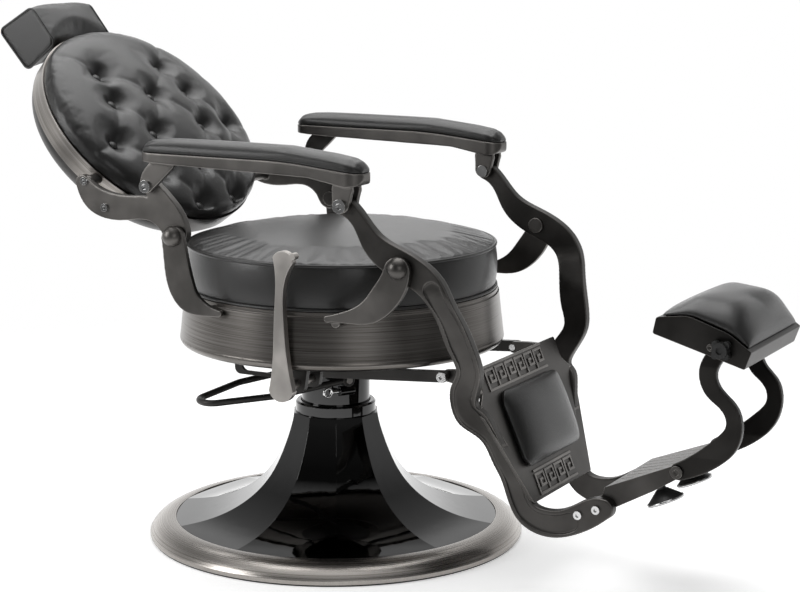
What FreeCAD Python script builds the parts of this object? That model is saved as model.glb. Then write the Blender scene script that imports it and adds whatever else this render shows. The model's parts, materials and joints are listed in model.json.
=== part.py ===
import FreeCAD, Part
import math
import os
import re

import Sketcher

# Hydraulic barber chair, in millimetres, +Z up, standing on Z = 0.
# The origin is on the floor, on the axis that the chair swivels about.
# The chair faces -Y, and the sitter's right hand is at -X.
# It is drawn fully reclined and at its lowest height.

Vector = FreeCAD.Vector
os.makedirs("parts", exist_ok=True)
doc = FreeCAD.newDocument("BarberChair")

SIZES = {
    # base and bell
    "base_radius": 350, "base_edge_height": 11, "base_shoulder_height": 37,
    "base_web": 11, "gasket_height": 3, "bell_radius": 301, "bell_wall": 3,
    "bell_height": 234, "collar_radius": 75, "collar_height": 21,
    "column_radius": 60, "column_top": 246, "column_flange_radius": 105,
    "column_flange_height": 12, "column_bolt_circle": 84, "column_bolt_radius": 8,
    # pump
    "cylinder_radius": 50, "cylinder_bore": 42, "cylinder_foot": 42, "head_radius": 64,
    "head_bottom": 251, "head_top": 343, "ram_radius": 34, "ram_foot": 72, "piston_height": 30,
    "pedal_heading": 151.7, "pedal_dip": 4.5, "pedal_width": 140, "pedal_length": 292,
    "pedal_height": 306, "pedal_rod_radius": 6, "pedal_pivot_reach": 18,
    "pedal_pin_radius": 6, "lock_pin_radius": 4, "lock_pin_height": 284,
    # seat
    "plate_top": 372, "plate_thickness": 18, "plate_radius": 118,
    "pan_height": 102, "pan_flange_radius": 300.4, "pan_rim_radius": 289.4, "pan_wall": 4,
    "pan_recess": 22, "pan_floor": 5,
    "pan_forward": 15, "panel_thickness": 12, "cushion_radius": 287, "cushion_height": 97,
    # frame across the chair
    "upright_face": 283, "upright_thickness": 10, "leg_face": 282, "leg_thickness": 18, "toe_face": 127,
    "bracket_face": 280.5, "bracket_thickness": 16, "arm_face": 298, "arm_width": 60,
    "ear_thickness": 9, "running_fit": 0.05, "side_gap": 0.5,
    "pivot_radius": 8, "nut_radius": 19, "nut_height": 15,
    # pivots, seen from the side
    "back_pivot_y": 163, "back_pivot_z": 590, "leg_pivot_y": -287, "leg_pivot_z": 568,
    "arm_pivot_y": 218, "arm_pivot_z": 675, "link_pivot_y": -178, "link_pivot_z": 666,
    "link_pin_radius": 6.5, "link_slack": 2.2,
    # backrest
    "back_tilt": 43, "back_centre_y": 400, "back_centre_z": 737, "back_lift": 11,
    "back_half_width": 262, "back_half_height": 228, "band_depth": 38, "cover_depth": 58,
    "shell_wall": 3, "back_panel_thickness": 10, "back_crown": 52,
    "button_radius": 11, "button_sink": 9,
    "headrest_width": 182, "headrest_height": 96, "headrest_thickness": 94,
    "headrest_base": 231, "headrest_travel": 90, "bar_width": 48, "bar_thickness": 8,
    "bar_depth": 24, "knob_radius": 19,
    # arms
    "arm_top": 760, "arm_seam": 736, "arm_floor": 716, "arm_droop": 15,
    # calf rest and step
    "calf_forward": 84, "calf_drop": 188, "calf_tilt": 22.3, "calf_length": 253,
    "calf_top_half": 163, "calf_bottom_half": 106, "calf_plate_thickness": 6,
    "calf_pad_half": 118, "calf_pad_height": 140, "calf_pad_thickness": 26,
    "band_height": 44, "band_relief": 2, "band_span": 140, "foot_span": 92,
    "step_forward": 302, "step_drop": 384, "step_tilt": 22.3, "step_length": 146,
    "step_front_half": 84, "step_thickness": 8, "rail_height": 30,
    "rail_thickness": 11,
    "bar_bolt_forward": 15, "bar_bolt_drop": 210, "push_bar_half": 148, "push_bar_thickness": 12,
    "push_bar_height": 20, "guide_y": 20, "guide_z": 336, "guide_travel": 86,
    # foot rest
    "foot_hinge_forward": 431, "foot_hinge_drop": 340, "foot_arm_half": 102, "foot_pin_radius": 6,
    "foot_arm_spread": 21,
    "foot_arm_thickness": 13, "tilt_pivot_forward": 515, "tilt_pivot_drop": 116,
    "foot_pad_length": 256, "foot_tray_wall": 4,
    # recline lever
    "lever_y": -72, "lever_z": 343, "lever_face": 302, "lever_thickness": 13,
    "lever_shaft_radius": 8,
}

sheet = doc.addObject("Spreadsheet::Sheet", "Sizes")
for row, (alias, number) in enumerate(SIZES.items(), start=1):
    sheet.set(f"A{row}", alias)
    sheet.set(f"B{row}", str(number))
    sheet.setAlias(f"B{row}", alias)
doc.recompute()

FUNCTIONS = ("sin", "cos", "tan", "sqrt", "max", "min")
nodes = []


def formula(text):
    """The text with each name of a size made a reference to its cell."""
    def cell(match):
        return match[0] if match[0] in FUNCTIONS else "Sizes." + match[0]
    return re.sub(r"\b[a-z][a-z_]+\b", cell, str(text))


def size(text):
    """The number that a formula of the sheet's names gives."""
    answer = sheet.evalExpression(formula(text))
    return float(getattr(answer, "Value", answer))


def kept(item, name):
    """Name an object as one of the chair's pieces."""
    item.Label = name
    nodes.append(item)
    return item


def place(item, x="0", y="0", z="0", turn=None):
    """Bind an object's place to the sheet; turn is (axis, degrees formula)."""
    if turn:
        axis, angle = turn
        item.Placement = FreeCAD.Placement(Vector(), FreeCAD.Rotation(axis, size(angle)))
        item.setExpression("Placement.Rotation.Angle", formula(angle))
    for part, text in (("x", x), ("y", y), ("z", z)):
        item.setExpression("Placement.Base." + part, formula(text))
    return item


def cylinder(name, radius, length, x="0", y="0", z="0", turn=None):
    item = doc.addObject("Part::Cylinder", name)
    item.setExpression("Radius", formula(radius))
    item.setExpression("Height", formula(length))
    return place(item, x, y, z, turn)


def cut(name, base, tool):
    item = doc.addObject("Part::Cut", name)
    item.Base = base
    item.Tool = tool
    return item


def group(name, *links):
    item = doc.addObject("Part::Compound", name)
    item.Links = list(links)
    return item


def mirrored(source, name):
    """The same piece for the other side of the chair."""
    item = doc.addObject("Part::Mirroring", name)
    item.Source = source
    item.Normal = Vector(1, 0, 0)
    return item


def pair(maker, name):
    """A right-hand piece at -X and its mirror image at +X, as two pieces."""
    right = kept(maker(name + "_right"), name + "_right")
    left = kept(mirrored(right, name + "_left"), name + "_left")
    return right, left


def feature(name, shape, placement=None):
    item = doc.addObject("Part::Feature", name)
    item.Shape = shape
    item.Placement = (placement or FreeCAD.Placement()).multiply(shape.Placement)
    return item


def turned(name, corners, arcs=None):
    """A body turned about Z from (radius, height) corners, each bound to the sheet.

    arcs gives, for the side that leaves a corner, how far it bulges to its right,
    or "cap" for a side that is part of a ball centred on the axis.
    """
    arcs = arcs or {}
    body = doc.addObject("PartDesign::Body", name)
    sketch = body.newObject("Sketcher::SketchObject", name + "_profile")
    plane = [item for item in body.Origin.OriginFeatures if item.Role == "XZ_Plane"][0]
    sketch.AttachmentSupport = (plane, [""])
    sketch.MapMode = "FlatFace"
    points = [Vector(size(radius), size(height), 0) for radius, height in corners]
    first_end = []
    for index, (start, end) in enumerate(zip(points, points[1:] + points[:1])):
        bulge = arcs.get(index)
        if bulge:
            bulge = abs(end.y - start.y) / 4 if bulge == "cap" else size(bulge)
            across = Vector(end.y - start.y, start.x - end.x, 0).normalize()
            side = Part.Arc(start, (start + end) / 2 + across * bulge, end)
        else:
            side = Part.LineSegment(start, end)
        sketch.addGeometry(side)
        drawn = sketch.Geometry[index].StartPoint
        first_end.append(1 if drawn.distanceToPoint(start) < 1e-6 else 2)
    for index in [index for index, bulge in arcs.items() if bulge == "cap"]:
        sketch.addConstraint(Sketcher.Constraint("PointOnObject", index, 3, -2))
    for index, (radius, height) in enumerate(corners):
        following = (index + 1) % len(corners)
        near, far = first_end[index], 3 - first_end[index]
        sketch.addConstraint(Sketcher.Constraint("Coincident", index, far,
                                                 following, first_end[following]))
        for kind, text, number in (("DistanceX", radius, points[index].x),
                                   ("DistanceY", height, points[index].y)):
            made = sketch.addConstraint(Sketcher.Constraint(kind, -1, 1, index, near, number))
            sketch.setExpression(f"Constraints[{made}]", formula(text))
    revolution = body.newObject("PartDesign::Revolution", name + "_turned")
    revolution.Profile = sketch
    revolution.ReferenceAxis = (sketch, ["V_Axis"])
    revolution.Angle = 360
    return body


def side_plate(outline, outer, thickness):
    """Stand a face of the side view up as a plate, from x = -outer inwards."""
    plate = outline.extrude(Vector(thickness, 0, 0))
    return plate.translated(Vector(-outer, 0, 0))


def disc(centre, radius):
    y, z = centre
    return Part.Face(Part.Wire(Part.Circle(Vector(0, y, z), Vector(1, 0, 0), radius).toShape()))


def ribbon(stations):
    """A smooth strip in the side view through (y, z, half width) stations."""
    middle = Part.BSplineCurve()
    middle.interpolate([Vector(0, y, z) for y, z, half in stations])
    left, right = [], []
    for y, z, half in stations:
        here = Vector(0, y, z)
        along = Vector(*middle.tangent(middle.parameter(here))[0])
        across = Vector(0, -along.z, along.y) * half
        left.append(here + across)
        right.append(here - across)

    def edge(points):
        curve = Part.BSplineCurve()
        curve.interpolate(points)
        return curve.toShape()

    def nose(start, end, station, outwards):
        y, z, half = station
        along = Vector(*middle.tangent(middle.parameter(Vector(0, y, z)))[0])
        tip = Vector(0, y, z) + along * (half * 0.8 * outwards)
        return Part.Arc(start, tip, end).toShape()

    edges = [edge(left), nose(left[-1], right[-1], stations[-1], 1),
             edge(right[::-1]), nose(right[0], left[0], stations[0], -1)]
    return Part.Face(Part.Wire(edges))


def rounded(points):
    """A closed face in the side view with (y, z, corner radius) corners."""
    count = len(points)
    corners = [Vector(0, y, z) for y, z, radius in points]
    edges, starts, ends = [], [], []
    for index, (y, z, radius) in enumerate(points):
        here = corners[index]
        back = (corners[index - 1] - here).normalize()
        ahead = (corners[(index + 1) % count] - here).normalize()
        half_turn = back.getAngle(ahead) / 2
        reach = radius / math.tan(half_turn)
        first, last = here + back * reach, here + ahead * reach
        middle = (back + ahead).normalize()
        top = here + middle * (radius / math.sin(half_turn) - radius)
        edges.append(Part.Arc(first, top, last).toShape())
        starts.append(first)
        ends.append(last)
    outline = []
    for index in range(count):
        outline.append(edges[index])
        following = starts[(index + 1) % count]
        outline.append(Part.LineSegment(ends[index], following).toShape())
    return Part.Face(Part.Wire(outline))


def rod(points, radius, bend):
    """A round rod through points, its corners bent to one radius."""
    path = []
    start = points[0]
    for index in range(1, len(points) - 1):
        here = points[index]
        back = (start - here).normalize()
        ahead = (points[index + 1] - here).normalize()
        half_turn = back.getAngle(ahead) / 2
        reach = bend / math.tan(half_turn)
        first, last = here + back * reach, here + ahead * reach
        top = here + (back + ahead).normalize() * (bend / math.sin(half_turn) - bend)
        path.append(Part.LineSegment(start, first).toShape())
        path.append(Part.Arc(first, top, last).toShape())
        start = last
    path.append(Part.LineSegment(start, points[-1]).toShape())
    section = Part.Wire(Part.Circle(points[0], points[1] - points[0], radius).toShape())
    return Part.Wire(path).makePipeShell([section], True, True)


FLAT = FreeCAD.Rotation(Vector(1, 1, 1), -120)


def lying(face, height):
    """The outline of a side-view face, laid down in the XY plane at a height."""
    face.Placement = FreeCAD.Placement(Vector(0, 0, height), FLAT)
    return face.OuterWire


def rounded_rectangle(half_width, half_height, corner, height, taper=0):
    """A flat outline with round corners, narrower by taper at each side of its -Y end."""
    corners = [(half_width, half_height), (-half_width, half_height),
               (taper - half_width, -half_height), (half_width - taper, -half_height)]
    return lying(rounded([(x, y, corner) for x, y in corners]), height)


def pin(centre, outer, length, radius):
    """A round bar along X from x = -outer inwards."""
    y, z = centre
    return Part.makeCylinder(radius, length, Vector(-outer, y, z), Vector(1, 0, 0))


def dome(centre, face, radius, height):
    """A domed nut standing outwards from x = -face."""
    y, z = centre
    bulge = (radius * radius + height * height) / (2 * height)
    ball = Part.makeSphere(bulge, Vector(bulge - height - face, y, z))
    return ball.common(pin(centre, face + height + 1, height + 1, radius))


PAN_TOP = "(plate_top + pan_height)"
PAN_FLOOR = "(plate_top + pan_recess)"
BORE = "(cylinder_radius + running_fit)"
WEB_TOP = "(base_shoulder_height - 4)"

# pivots in the side view, as (y, z)
BACK_PIVOT = (size("back_pivot_y"), size("back_pivot_z"))
LEG_PIVOT = (size("leg_pivot_y"), size("leg_pivot_z"))
ARM_PIVOT = (size("arm_pivot_y"), size("arm_pivot_z"))
LINK_PIVOT = (size("link_pivot_y"), size("link_pivot_z"))


def from_leg(forward, drop):
    """A place on the leg frame, measured forward of and below the leg pivot."""
    return LEG_PIVOT[0] - forward, LEG_PIVOT[1] - drop


BAR_BOLT = from_leg(size("bar_bolt_forward"), size("bar_bolt_drop"))
GUIDE = (size("guide_y"), size("guide_z"))
FOOT_HINGE = from_leg(size("foot_hinge_forward"), size("foot_hinge_drop"))
TILT_PIVOT = from_leg(size("tilt_pivot_forward"), size("tilt_pivot_drop"))
LEVER = (size("lever_y"), size("lever_z"))

BACK_FRAME = FreeCAD.Placement(Vector(0, size("back_centre_y"), size("back_centre_z")),
                               FreeCAD.Rotation(Vector(1, 0, 0), 90 - size("back_tilt")))
CALF_FRAME = FreeCAD.Placement(
    Vector(0, *from_leg(size("calf_forward"), size("calf_drop"))),
    FreeCAD.Rotation(Vector(1, 0, 0), 90 - size("calf_tilt")))
STEP_FRAME = FreeCAD.Placement(
    Vector(0, *from_leg(size("step_forward"), size("step_drop"))),
    FreeCAD.Rotation(Vector(1, 0, 0), -size("step_tilt")))


# the base, which stands on the floor

def make_base_plate():
    """A round cast plate, thin in the middle, with a domed rim around the bell."""
    corners = [("30", WEB_TOP + " - base_web"), ("base_radius - 34", WEB_TOP + " - base_web"),
               ("base_radius - 26", "gasket_height"), ("base_radius - 2", "gasket_height"),
               ("base_radius", "gasket_height + 2"), ("base_radius", "base_edge_height"),
               ("bell_radius + 5", "base_shoulder_height"),
               ("bell_radius + 0.6", "base_shoulder_height"),
               ("bell_radius + 0.6", WEB_TOP), ("30", WEB_TOP)]
    return kept(turned("base_plate", corners, {5: "7"}), "base_plate")


def make_floor_gasket():
    corners = [("base_radius - 24", "0"), ("base_radius - 4", "0"),
               ("base_radius - 4", "gasket_height"), ("base_radius - 24", "gasket_height")]
    return kept(turned("floor_gasket", corners), "floor_gasket")


BELL_SIDES = 10
BELL_FLARE = ((0.0, 1.09), (0.12, 1.16), (0.33, 1.36), (0.57, 1.70), (0.73, 2.10),
              (0.87, 2.72), (0.955, 3.5), (1.0, 4.4))


def make_bell_cover():
    """A ten-sided flared shell, cut round at its foot."""
    solids = []
    for layer, inset in (("outer", "0"), ("inner", "bell_wall")):
        rings = []
        for index, (drop, spread) in enumerate(BELL_FLARE):
            ring = doc.addObject("Part::RegularPolygon", f"bell_{layer}_{index}")
            ring.Polygon = BELL_SIDES
            ring.setExpression("Circumradius", formula(f"collar_radius * {spread} - {inset}"))
            top = "(bell_height - " + inset + ")"
            height = f"{top} - {drop} * ({top} - {WEB_TOP} + {inset})"
            place(ring, z=height, turn=(Vector(0, 0, 1), "30"))
            rings.append(ring)
        loft = doc.addObject("Part::Loft", "bell_" + layer)
        loft.Sections = rings
        loft.Solid = True
        solids.append(loft)
    hollow = cut("bell_hollow", *solids)
    bored = cut("bell_bored", hollow, cylinder("bell_bore", "column_radius + 0.3", "bell_height"))
    trimmed = doc.addObject("Part::Common", "bell_cover")
    trimmed.Base = bored
    trimmed.Tool = cylinder("bell_trim", "bell_radius", "bell_height", z=WEB_TOP)
    return kept(trimmed, "bell_cover")


def make_bell_collar():
    """A round ring between the bell and the pump head."""
    top = "bell_height + collar_height"
    corners = [("column_radius + 0.3", "bell_height"), ("collar_radius", "bell_height"),
               ("collar_radius", top + " - 3"), ("collar_radius - 3", top),
               ("head_radius + 1.5", top), ("head_radius + 1.5", "bell_height + 6"),
               ("column_radius + 0.3", "bell_height + 6")]
    return kept(turned("bell_collar", corners), "bell_collar")


def make_column():
    """The socket that the pump turns in, bolted to the base plate."""
    flange_top = WEB_TOP + " + column_flange_height"
    corners = [(BORE, WEB_TOP), ("column_flange_radius", WEB_TOP),
               ("column_flange_radius", flange_top), ("column_radius", flange_top),
               ("column_radius", "column_top"), (BORE, "column_top")]
    return kept(turned("column_socket", corners), "column_socket")


def make_column_bolts():
    """Six hexagon bolt heads on the flange of the socket."""
    heads = []
    for index in range(6):
        head = doc.addObject("Part::Prism", f"column_bolt_{index}")
        head.Polygon = 6
        head.setExpression("Circumradius", formula("column_bolt_radius"))
        head.Height = 7
        angle = math.radians(60 * index)
        place(head, f"column_bolt_circle * {math.cos(angle):.4f}",
              f"column_bolt_circle * {math.sin(angle):.4f}", WEB_TOP + " + column_flange_height")
        heads.append(head)
    return kept(group("column_bolts", *heads), "column_bolts")


def make_thrust_washer():
    corners = [(BORE + " + 0.2", "column_top"), ("column_radius + 2", "column_top"),
               ("column_radius + 2", "head_bottom - 0.1"), (BORE + " + 0.2", "head_bottom - 0.1")]
    return kept(turned("thrust_washer", corners), "thrust_washer")


# the pump, which turns in the base

def make_pump_cylinder():
    corners = [("0", "cylinder_foot"), ("cylinder_radius", "cylinder_foot"),
               ("cylinder_radius", "head_bottom"), ("cylinder_bore", "head_bottom"),
               ("cylinder_bore", "cylinder_foot + 10"), ("0", "cylinder_foot + 10")]
    return kept(turned("pump_cylinder", corners), "pump_cylinder")


PEDAL_TURN = FreeCAD.Rotation(Vector(0, 0, 1), size("pedal_heading"))
PEDAL_PIVOT = PEDAL_TURN.multVec(Vector(size("pedal_pivot_reach"), 0, size("pedal_height")))
EYE_RADIUS = 12
LOCK_SIDE = 60
LOCK_MOUTH = 30


def along_pedal(forward, aside, height):
    """A point beside the pump: forward to the pedal, aside to the sitter's front."""
    return PEDAL_TURN.multVec(Vector(forward, aside, height))


def pedal_pin_shape(slack):
    """Two stub pins, one on each side of the pump head, where the pedal hinges."""
    side = PEDAL_TURN.multVec(Vector(0, 1, 0))
    inner, outer = size("pedal_width") / 2 - 18, size("pedal_width") / 2 + 9
    radius = size("pedal_pin_radius") + slack
    pins = []
    for way in (1, -1):
        start = PEDAL_PIVOT + side * (inner * way)
        pins.append(Part.makeCylinder(radius, outer - inner, start, side * way))
    return Part.makeCompound(pins)


def make_pump_head():
    """A turned casting with bosses for the pedal pins and for the lock pin."""
    corners = [("cylinder_bore", "head_bottom"), ("head_radius", "head_bottom"),
               ("head_radius", "head_top - 14"), ("head_radius - 8", "head_top"),
               ("ram_radius + 10", "head_top"), ("ram_radius + 10", "head_top - 16"),
               ("cylinder_bore", "head_top - 16")]
    casting = turned("pump_head_casting", corners)
    doc.recompute()
    side = PEDAL_TURN.multVec(Vector(0, 1, 0))
    face = size("pedal_width") / 2 - 7
    core = Part.makeCylinder(size("cylinder_bore") + 4, size("head_top - head_bottom"),
                             Vector(0, 0, size("head_bottom")))
    shape = casting.Shape
    for way in (1, -1):
        boss = Part.makeCylinder(EYE_RADIUS, face, PEDAL_PIVOT, side * way)
        shape = shape.fuse(boss.cut(core))
    lock_start = along_pedal(0, LOCK_SIDE, size("lock_pin_height"))
    ahead = PEDAL_TURN.multVec(Vector(1, 0, 0))
    lock_boss = Part.makeCylinder(9, LOCK_MOUTH, lock_start, ahead)
    lock_bore = Part.makeCylinder(size("lock_pin_radius + running_fit"), LOCK_MOUTH + 9,
                                  lock_start, ahead)
    shape = shape.fuse(lock_boss.cut(core)).cut(lock_bore)
    return kept(feature("pump_head", shape.cut(pedal_pin_shape(0)).removeSplitter()), "pump_head")


def make_gland_ring():
    corners = [("ram_radius + running_fit", "head_top - 16"), ("ram_radius + 10", "head_top - 16"),
               ("ram_radius + 10", "head_top"), ("ram_radius + running_fit", "head_top")]
    return kept(turned("gland_ring", corners), "gland_ring")


def make_lock_pin():
    """A pull pin with a ring, which locks the swivel."""
    height = size("lock_pin_height")
    ahead = PEDAL_TURN.multVec(Vector(1, 0, 0))
    stem = Part.makeCylinder(size("lock_pin_radius"), LOCK_MOUTH + 14,
                             along_pedal(2, LOCK_SIDE, height), ahead)
    ring = Part.makeTorus(8, 2.2, along_pedal(LOCK_MOUTH + 24, LOCK_SIDE, height),
                          PEDAL_TURN.multVec(Vector(0, 1, 0)))
    return kept(feature("lock_pin", stem.fuse(ring)), "lock_pin")


def make_pedal():
    """A bent rod, pointed at its tip, with an eye on each pin."""
    reach, half = size("pedal_length - pedal_pivot_reach"), size("pedal_width") / 2
    route = [(5, half), (0.55 * reach, half - 2), (reach - 8, 22), (reach - 8, -22),
             (0.55 * reach, 2 - half), (5, -half)]
    bar = rod([Vector(x, y, 0) for x, y in route], size("pedal_rod_radius"), 30)
    shape = bar
    for way in (1, -1):
        start = Vector(0, way * (half - 5.8), 0)
        shape = shape.fuse(Part.makeCylinder(EYE_RADIUS, 12.3, start, Vector(0, way, 0)))
    bore = size("pedal_pin_radius + running_fit")
    for way in (1, -1):
        start = Vector(0, way * (half - 8), 0)
        shape = shape.cut(Part.makeCylinder(bore, 16, start, Vector(0, way, 0)))
    dip = FreeCAD.Rotation(Vector(0, 1, 0), size("pedal_dip"))
    item = feature("pedal", shape, FreeCAD.Placement(PEDAL_PIVOT, PEDAL_TURN.multiply(dip)))
    return kept(item, "pedal")


# the seat, which the ram lifts

def make_ram():
    foot = "ram_foot + piston_height"
    corners = [("0", foot), ("ram_radius", foot),
               ("ram_radius", "plate_top - plate_thickness"), ("0", "plate_top - plate_thickness")]
    return kept(turned("lift_ram", corners), "lift_ram")


def make_piston():
    foot, top = "ram_foot", "ram_foot + piston_height"
    bore = "cylinder_bore - running_fit"
    corners = [("0", foot), (bore, foot), (bore, foot + " + 10"), (bore + " - 3", foot + " + 10"),
               (bore + " - 3", foot + " + 16"), (bore, foot + " + 16"), (bore, top), ("0", top)]
    return kept(turned("ram_piston", corners), "ram_piston")


def make_mount_plate():
    under = "plate_top - plate_thickness"
    corners = [("0", under), ("ram_radius + 22", under), ("plate_radius", "plate_top - 8"),
               ("plate_radius", "plate_top"), ("0", "plate_top")]
    return kept(turned("mount_plate", corners), "mount_plate")


def make_seat_pan():
    """A drum with a rolled lower edge and a stepped rim, its floor raised around a boss."""
    skirt, floor = "pan_flange_radius - 14", PAN_FLOOR + " + pan_floor"
    inner_foot = "pan_flange_radius - 2.4 - pan_wall"
    corners = [("0", "plate_top"), ("plate_radius + 7", "plate_top"),
               ("plate_radius + 13", PAN_FLOOR), (skirt + " - 2", PAN_FLOOR),
               (skirt, "plate_top"), ("pan_flange_radius - 9", "plate_top"),
               ("pan_flange_radius - 1", "plate_top + 15"), ("pan_rim_radius + 1", PAN_TOP + " - 8"),
               ("pan_rim_radius - 1.5", PAN_TOP + " - 6.5"), ("pan_rim_radius - 1.5", PAN_TOP),
               ("pan_rim_radius - pan_wall", PAN_TOP), (inner_foot, floor),
               ("plate_radius + 7", floor), ("plate_radius", "plate_top + pan_floor"),
               ("0", "plate_top + pan_floor")]
    body = turned("seat_pan", corners, {5: "4"})
    return kept(place(body, y="-pan_forward"), "seat_pan")


def make_seat_panel():
    top = PAN_TOP
    corners = [("0", top + " - panel_thickness"),
               ("pan_rim_radius - pan_wall - 0.3", top + " - panel_thickness"),
               ("pan_rim_radius - pan_wall - 0.3", top), ("0", top)]
    return kept(place(turned("seat_panel", corners), y="-pan_forward"), "seat_panel")


def make_seat_cushion():
    """A round cushion with a bulging side band, a piped top seam and a low crown."""
    edge, seam = "cushion_radius - 4", PAN_TOP + " + cushion_height - 17"
    corners = [("0", PAN_TOP), (edge + " - 4", PAN_TOP), (edge, PAN_TOP + " + 4"),
               (edge, seam), (edge + " - 2", seam + " + 2"), (edge + " - 17", seam + " + 12"),
               ("0", PAN_TOP + " + cushion_height")]
    arcs = {1: "1", 2: "4", 4: "4", 5: "cap"}
    return kept(place(turned("seat_cushion", corners, arcs), y="-pan_forward"), "seat_cushion")


def pan_envelope():
    """The outside of the pan's wall, which the feet of the uprights bear on."""
    foot, step = size("pan_flange_radius - 1"), size("pan_rim_radius + 1")
    height = size("pan_height - 15")
    top = foot - (foot - step) * height / (height - 8)
    return Part.makeCone(foot, top, height,
                         Vector(0, -size("pan_forward"), size("plate_top + 15")))


def upright(name, stations, pivot, feet):
    """A cast upright from a foot on the pan's rim to a pivot hub."""
    outer = size("upright_face + upright_thickness")
    thickness = size("upright_thickness")
    shape = side_plate(ribbon(stations), outer, thickness)
    for y, z in feet:
        foot = pin((y, z), outer - thickness / 2, outer, 9)
        near_side = Part.makeBox(outer, 60, 60, Vector(-outer - 1, y - 30, z - 30))
        shape = shape.fuse(foot.common(near_side).cut(foot_limit(y, z)))
    stud = pin(pivot, outer + 1, thickness + 2, size("pivot_radius"))
    return feature(name, shape.cut(stud))


def foot_limit(y, z):
    """Everything at a foot that lies inside the pan, out to its wall."""
    across = Part.makeBox(size("pan_flange_radius"), 60, 60, Vector(0, y - 30, z - 30))
    deep = size("pan_flange_radius") * 2
    middle = Part.makeBox(deep, 60, 60, Vector(-deep / 3, y - 30, z - 30))
    return pan_envelope().fuse(across).fuse(middle)


def make_rear_upright(name):
    y, z = BACK_PIVOT
    rim = size(PAN_TOP)
    stations = [(y, z, 23), (y - 7, (z + rim) / 2 + 13, 25), (y - 17, rim + 28, 26),
                (y - 34, rim + 3, 22), (y - 64, rim - 10, 12), (y - 96, rim - 15, 6)]
    return upright(name, stations, BACK_PIVOT, [(y - 76, rim - 12)])


def make_front_upright(name):
    y, z = LEG_PIVOT
    rim = size(PAN_TOP)
    stations = [(y, z, 24), (y + 8, z - 26, 26), (y + 25, (z + rim) / 2 - 4, 26),
                (y + 58, rim + 14, 20), (y + 102, rim + 2, 10), (y + 137, rim - 4, 6)]
    return upright(name, stations, LEG_PIVOT, [(y + 122, rim - 10)])


def make_pivot_studs():
    """Four studs with domed nuts, which the back and the leg frame turn on."""
    studs = []
    face = size("upright_face + upright_thickness")
    nut, rise, radius = size("nut_radius"), size("nut_height"), size("pivot_radius")
    depths = ((BACK_PIVOT, size("bracket_face - bracket_thickness")),
              (LEG_PIVOT, size("leg_face - leg_thickness")))
    for centre, inner in depths:
        stud = pin(centre, face, face - inner + 4, radius)
        washer = pin(centre, inner - size("side_gap"), 3.5, radius + 6)
        whole = stud.fuse(dome(centre, face, nut, rise)).fuse(washer)
        studs += [whole, whole.mirror(Vector(), Vector(1, 0, 0))]
    return kept(feature("pivot_studs", Part.makeCompound(studs)), "pivot_studs")


def make_guide_brackets():
    """Two slotted plates under the pan, which guide the rear ends of the push bars."""
    y, z = GUIDE
    travel = size("guide_travel")
    top = size(PAN_FLOOR)
    outline = rounded([(y - 30, top, 1), (y + travel + 30, top, 1),
                       (y + travel + 26, z - 19, 12), (y - 26, z - 19, 12)])
    slack = 6
    radius = size("pivot_radius") - 2 + slack
    slot = rounded([(y - radius, z + radius, radius - 0.1),
                    (y + travel + radius, z + radius, radius - 0.1),
                    (y + travel + radius, z - radius, radius - 0.1),
                    (y - radius, z - radius, radius - 0.1)])
    outer = size("push_bar_half - push_bar_thickness / 2 - 1.5")
    plate = side_plate(outline.cut(slot), outer, 6)
    pairs = Part.makeCompound([plate, plate.mirror(Vector(), Vector(1, 0, 0))])
    return kept(feature("guide_brackets", pairs), "guide_brackets")


def make_lever_bracket():
    """A block under the pan with the bearing of the recline lever's shaft."""
    y, z = LEVER
    top = size(PAN_FLOOR)
    outline = rounded([(y - 26, top, 1), (y + 26, top, 1), (y + 15, z - 16, 12),
                       (y - 15, z - 16, 12)])
    bore = disc(LEVER, size("lever_shaft_radius + running_fit"))
    cheeks = []
    outside = size("lever_face") - 40
    for outer in (outside, outside - 50):
        cheeks.append(side_plate(outline.cut(bore), outer, 10))
    web = Part.makeBox(60, 40, 4, Vector(-outside, y - 20, top - 4))
    shape = cheeks[0].fuse(cheeks[1]).fuse(web)
    return kept(feature("lever_bracket", shape.removeSplitter()), "lever_bracket")


def make_recline_lever():
    """An upright lever, wide at its foot and at its grip, on its own shaft."""
    y, z = LEVER
    face, thickness = size("lever_face"), size("lever_thickness")
    stations = [(y, z - 3, 24), (y + 1, z + 38, 16), (y + 3, z + 130, 9), (y - 1, z + 196, 10),
                (y - 6, z + 226, 20)]
    blade = side_plate(ribbon(stations), face + thickness, thickness)
    lip = Part.makeCylinder(6, thickness, Vector(-face - thickness, y - 25, z + 234),
                            Vector(1, 0, 0))
    shaft = pin(LEVER, face + 3, 98, size("lever_shaft_radius"))
    return kept(feature("recline_lever", blade.fuse(lip).fuse(shaft)), "recline_lever")


# the backrest, which turns on the rear uprights

BAND_INNER = (size("back_half_width") - 8, size("back_half_height") - 8)


def oval(half_width, half_height, height):
    """The outline of the back, which is wider than it is tall."""
    curve = Part.Ellipse(Vector(0, size("back_lift"), height), half_width, half_height)
    return Part.Wire(curve.toShape())


def revolved(sides):
    """A round solid about the back's normal, from the edges of its half section."""
    return Part.Face(Part.Wire([side.toShape() for side in sides])).revolve(
        Vector(), Vector(0, 0, 1), 360)


def narrowed(solid):
    """A round solid made as oval as the back, with every detail that is on it."""
    narrowing = FreeCAD.Matrix()
    narrowing.scale(Vector(1, size("back_half_height / back_half_width"), 1))
    return solid.transformGeometry(narrowing).translated(Vector(0, size("back_lift"), 0))


def half_section(points, throughs):
    """Arcs from point to point, each through its own middle, closed along the axis."""
    ends = [Vector(radius, 0, height) for radius, height in points]
    middles = [Vector(radius, 0, height) for radius, height in throughs]
    sides = [Part.Arc(start, middle, end) for start, middle, end in zip(ends, middles, ends[1:])]
    foot = Vector(0, 0, ends[0].z)
    return sides + [Part.LineSegment(ends[-1], foot), Part.LineSegment(foot, ends[0])]


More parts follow.
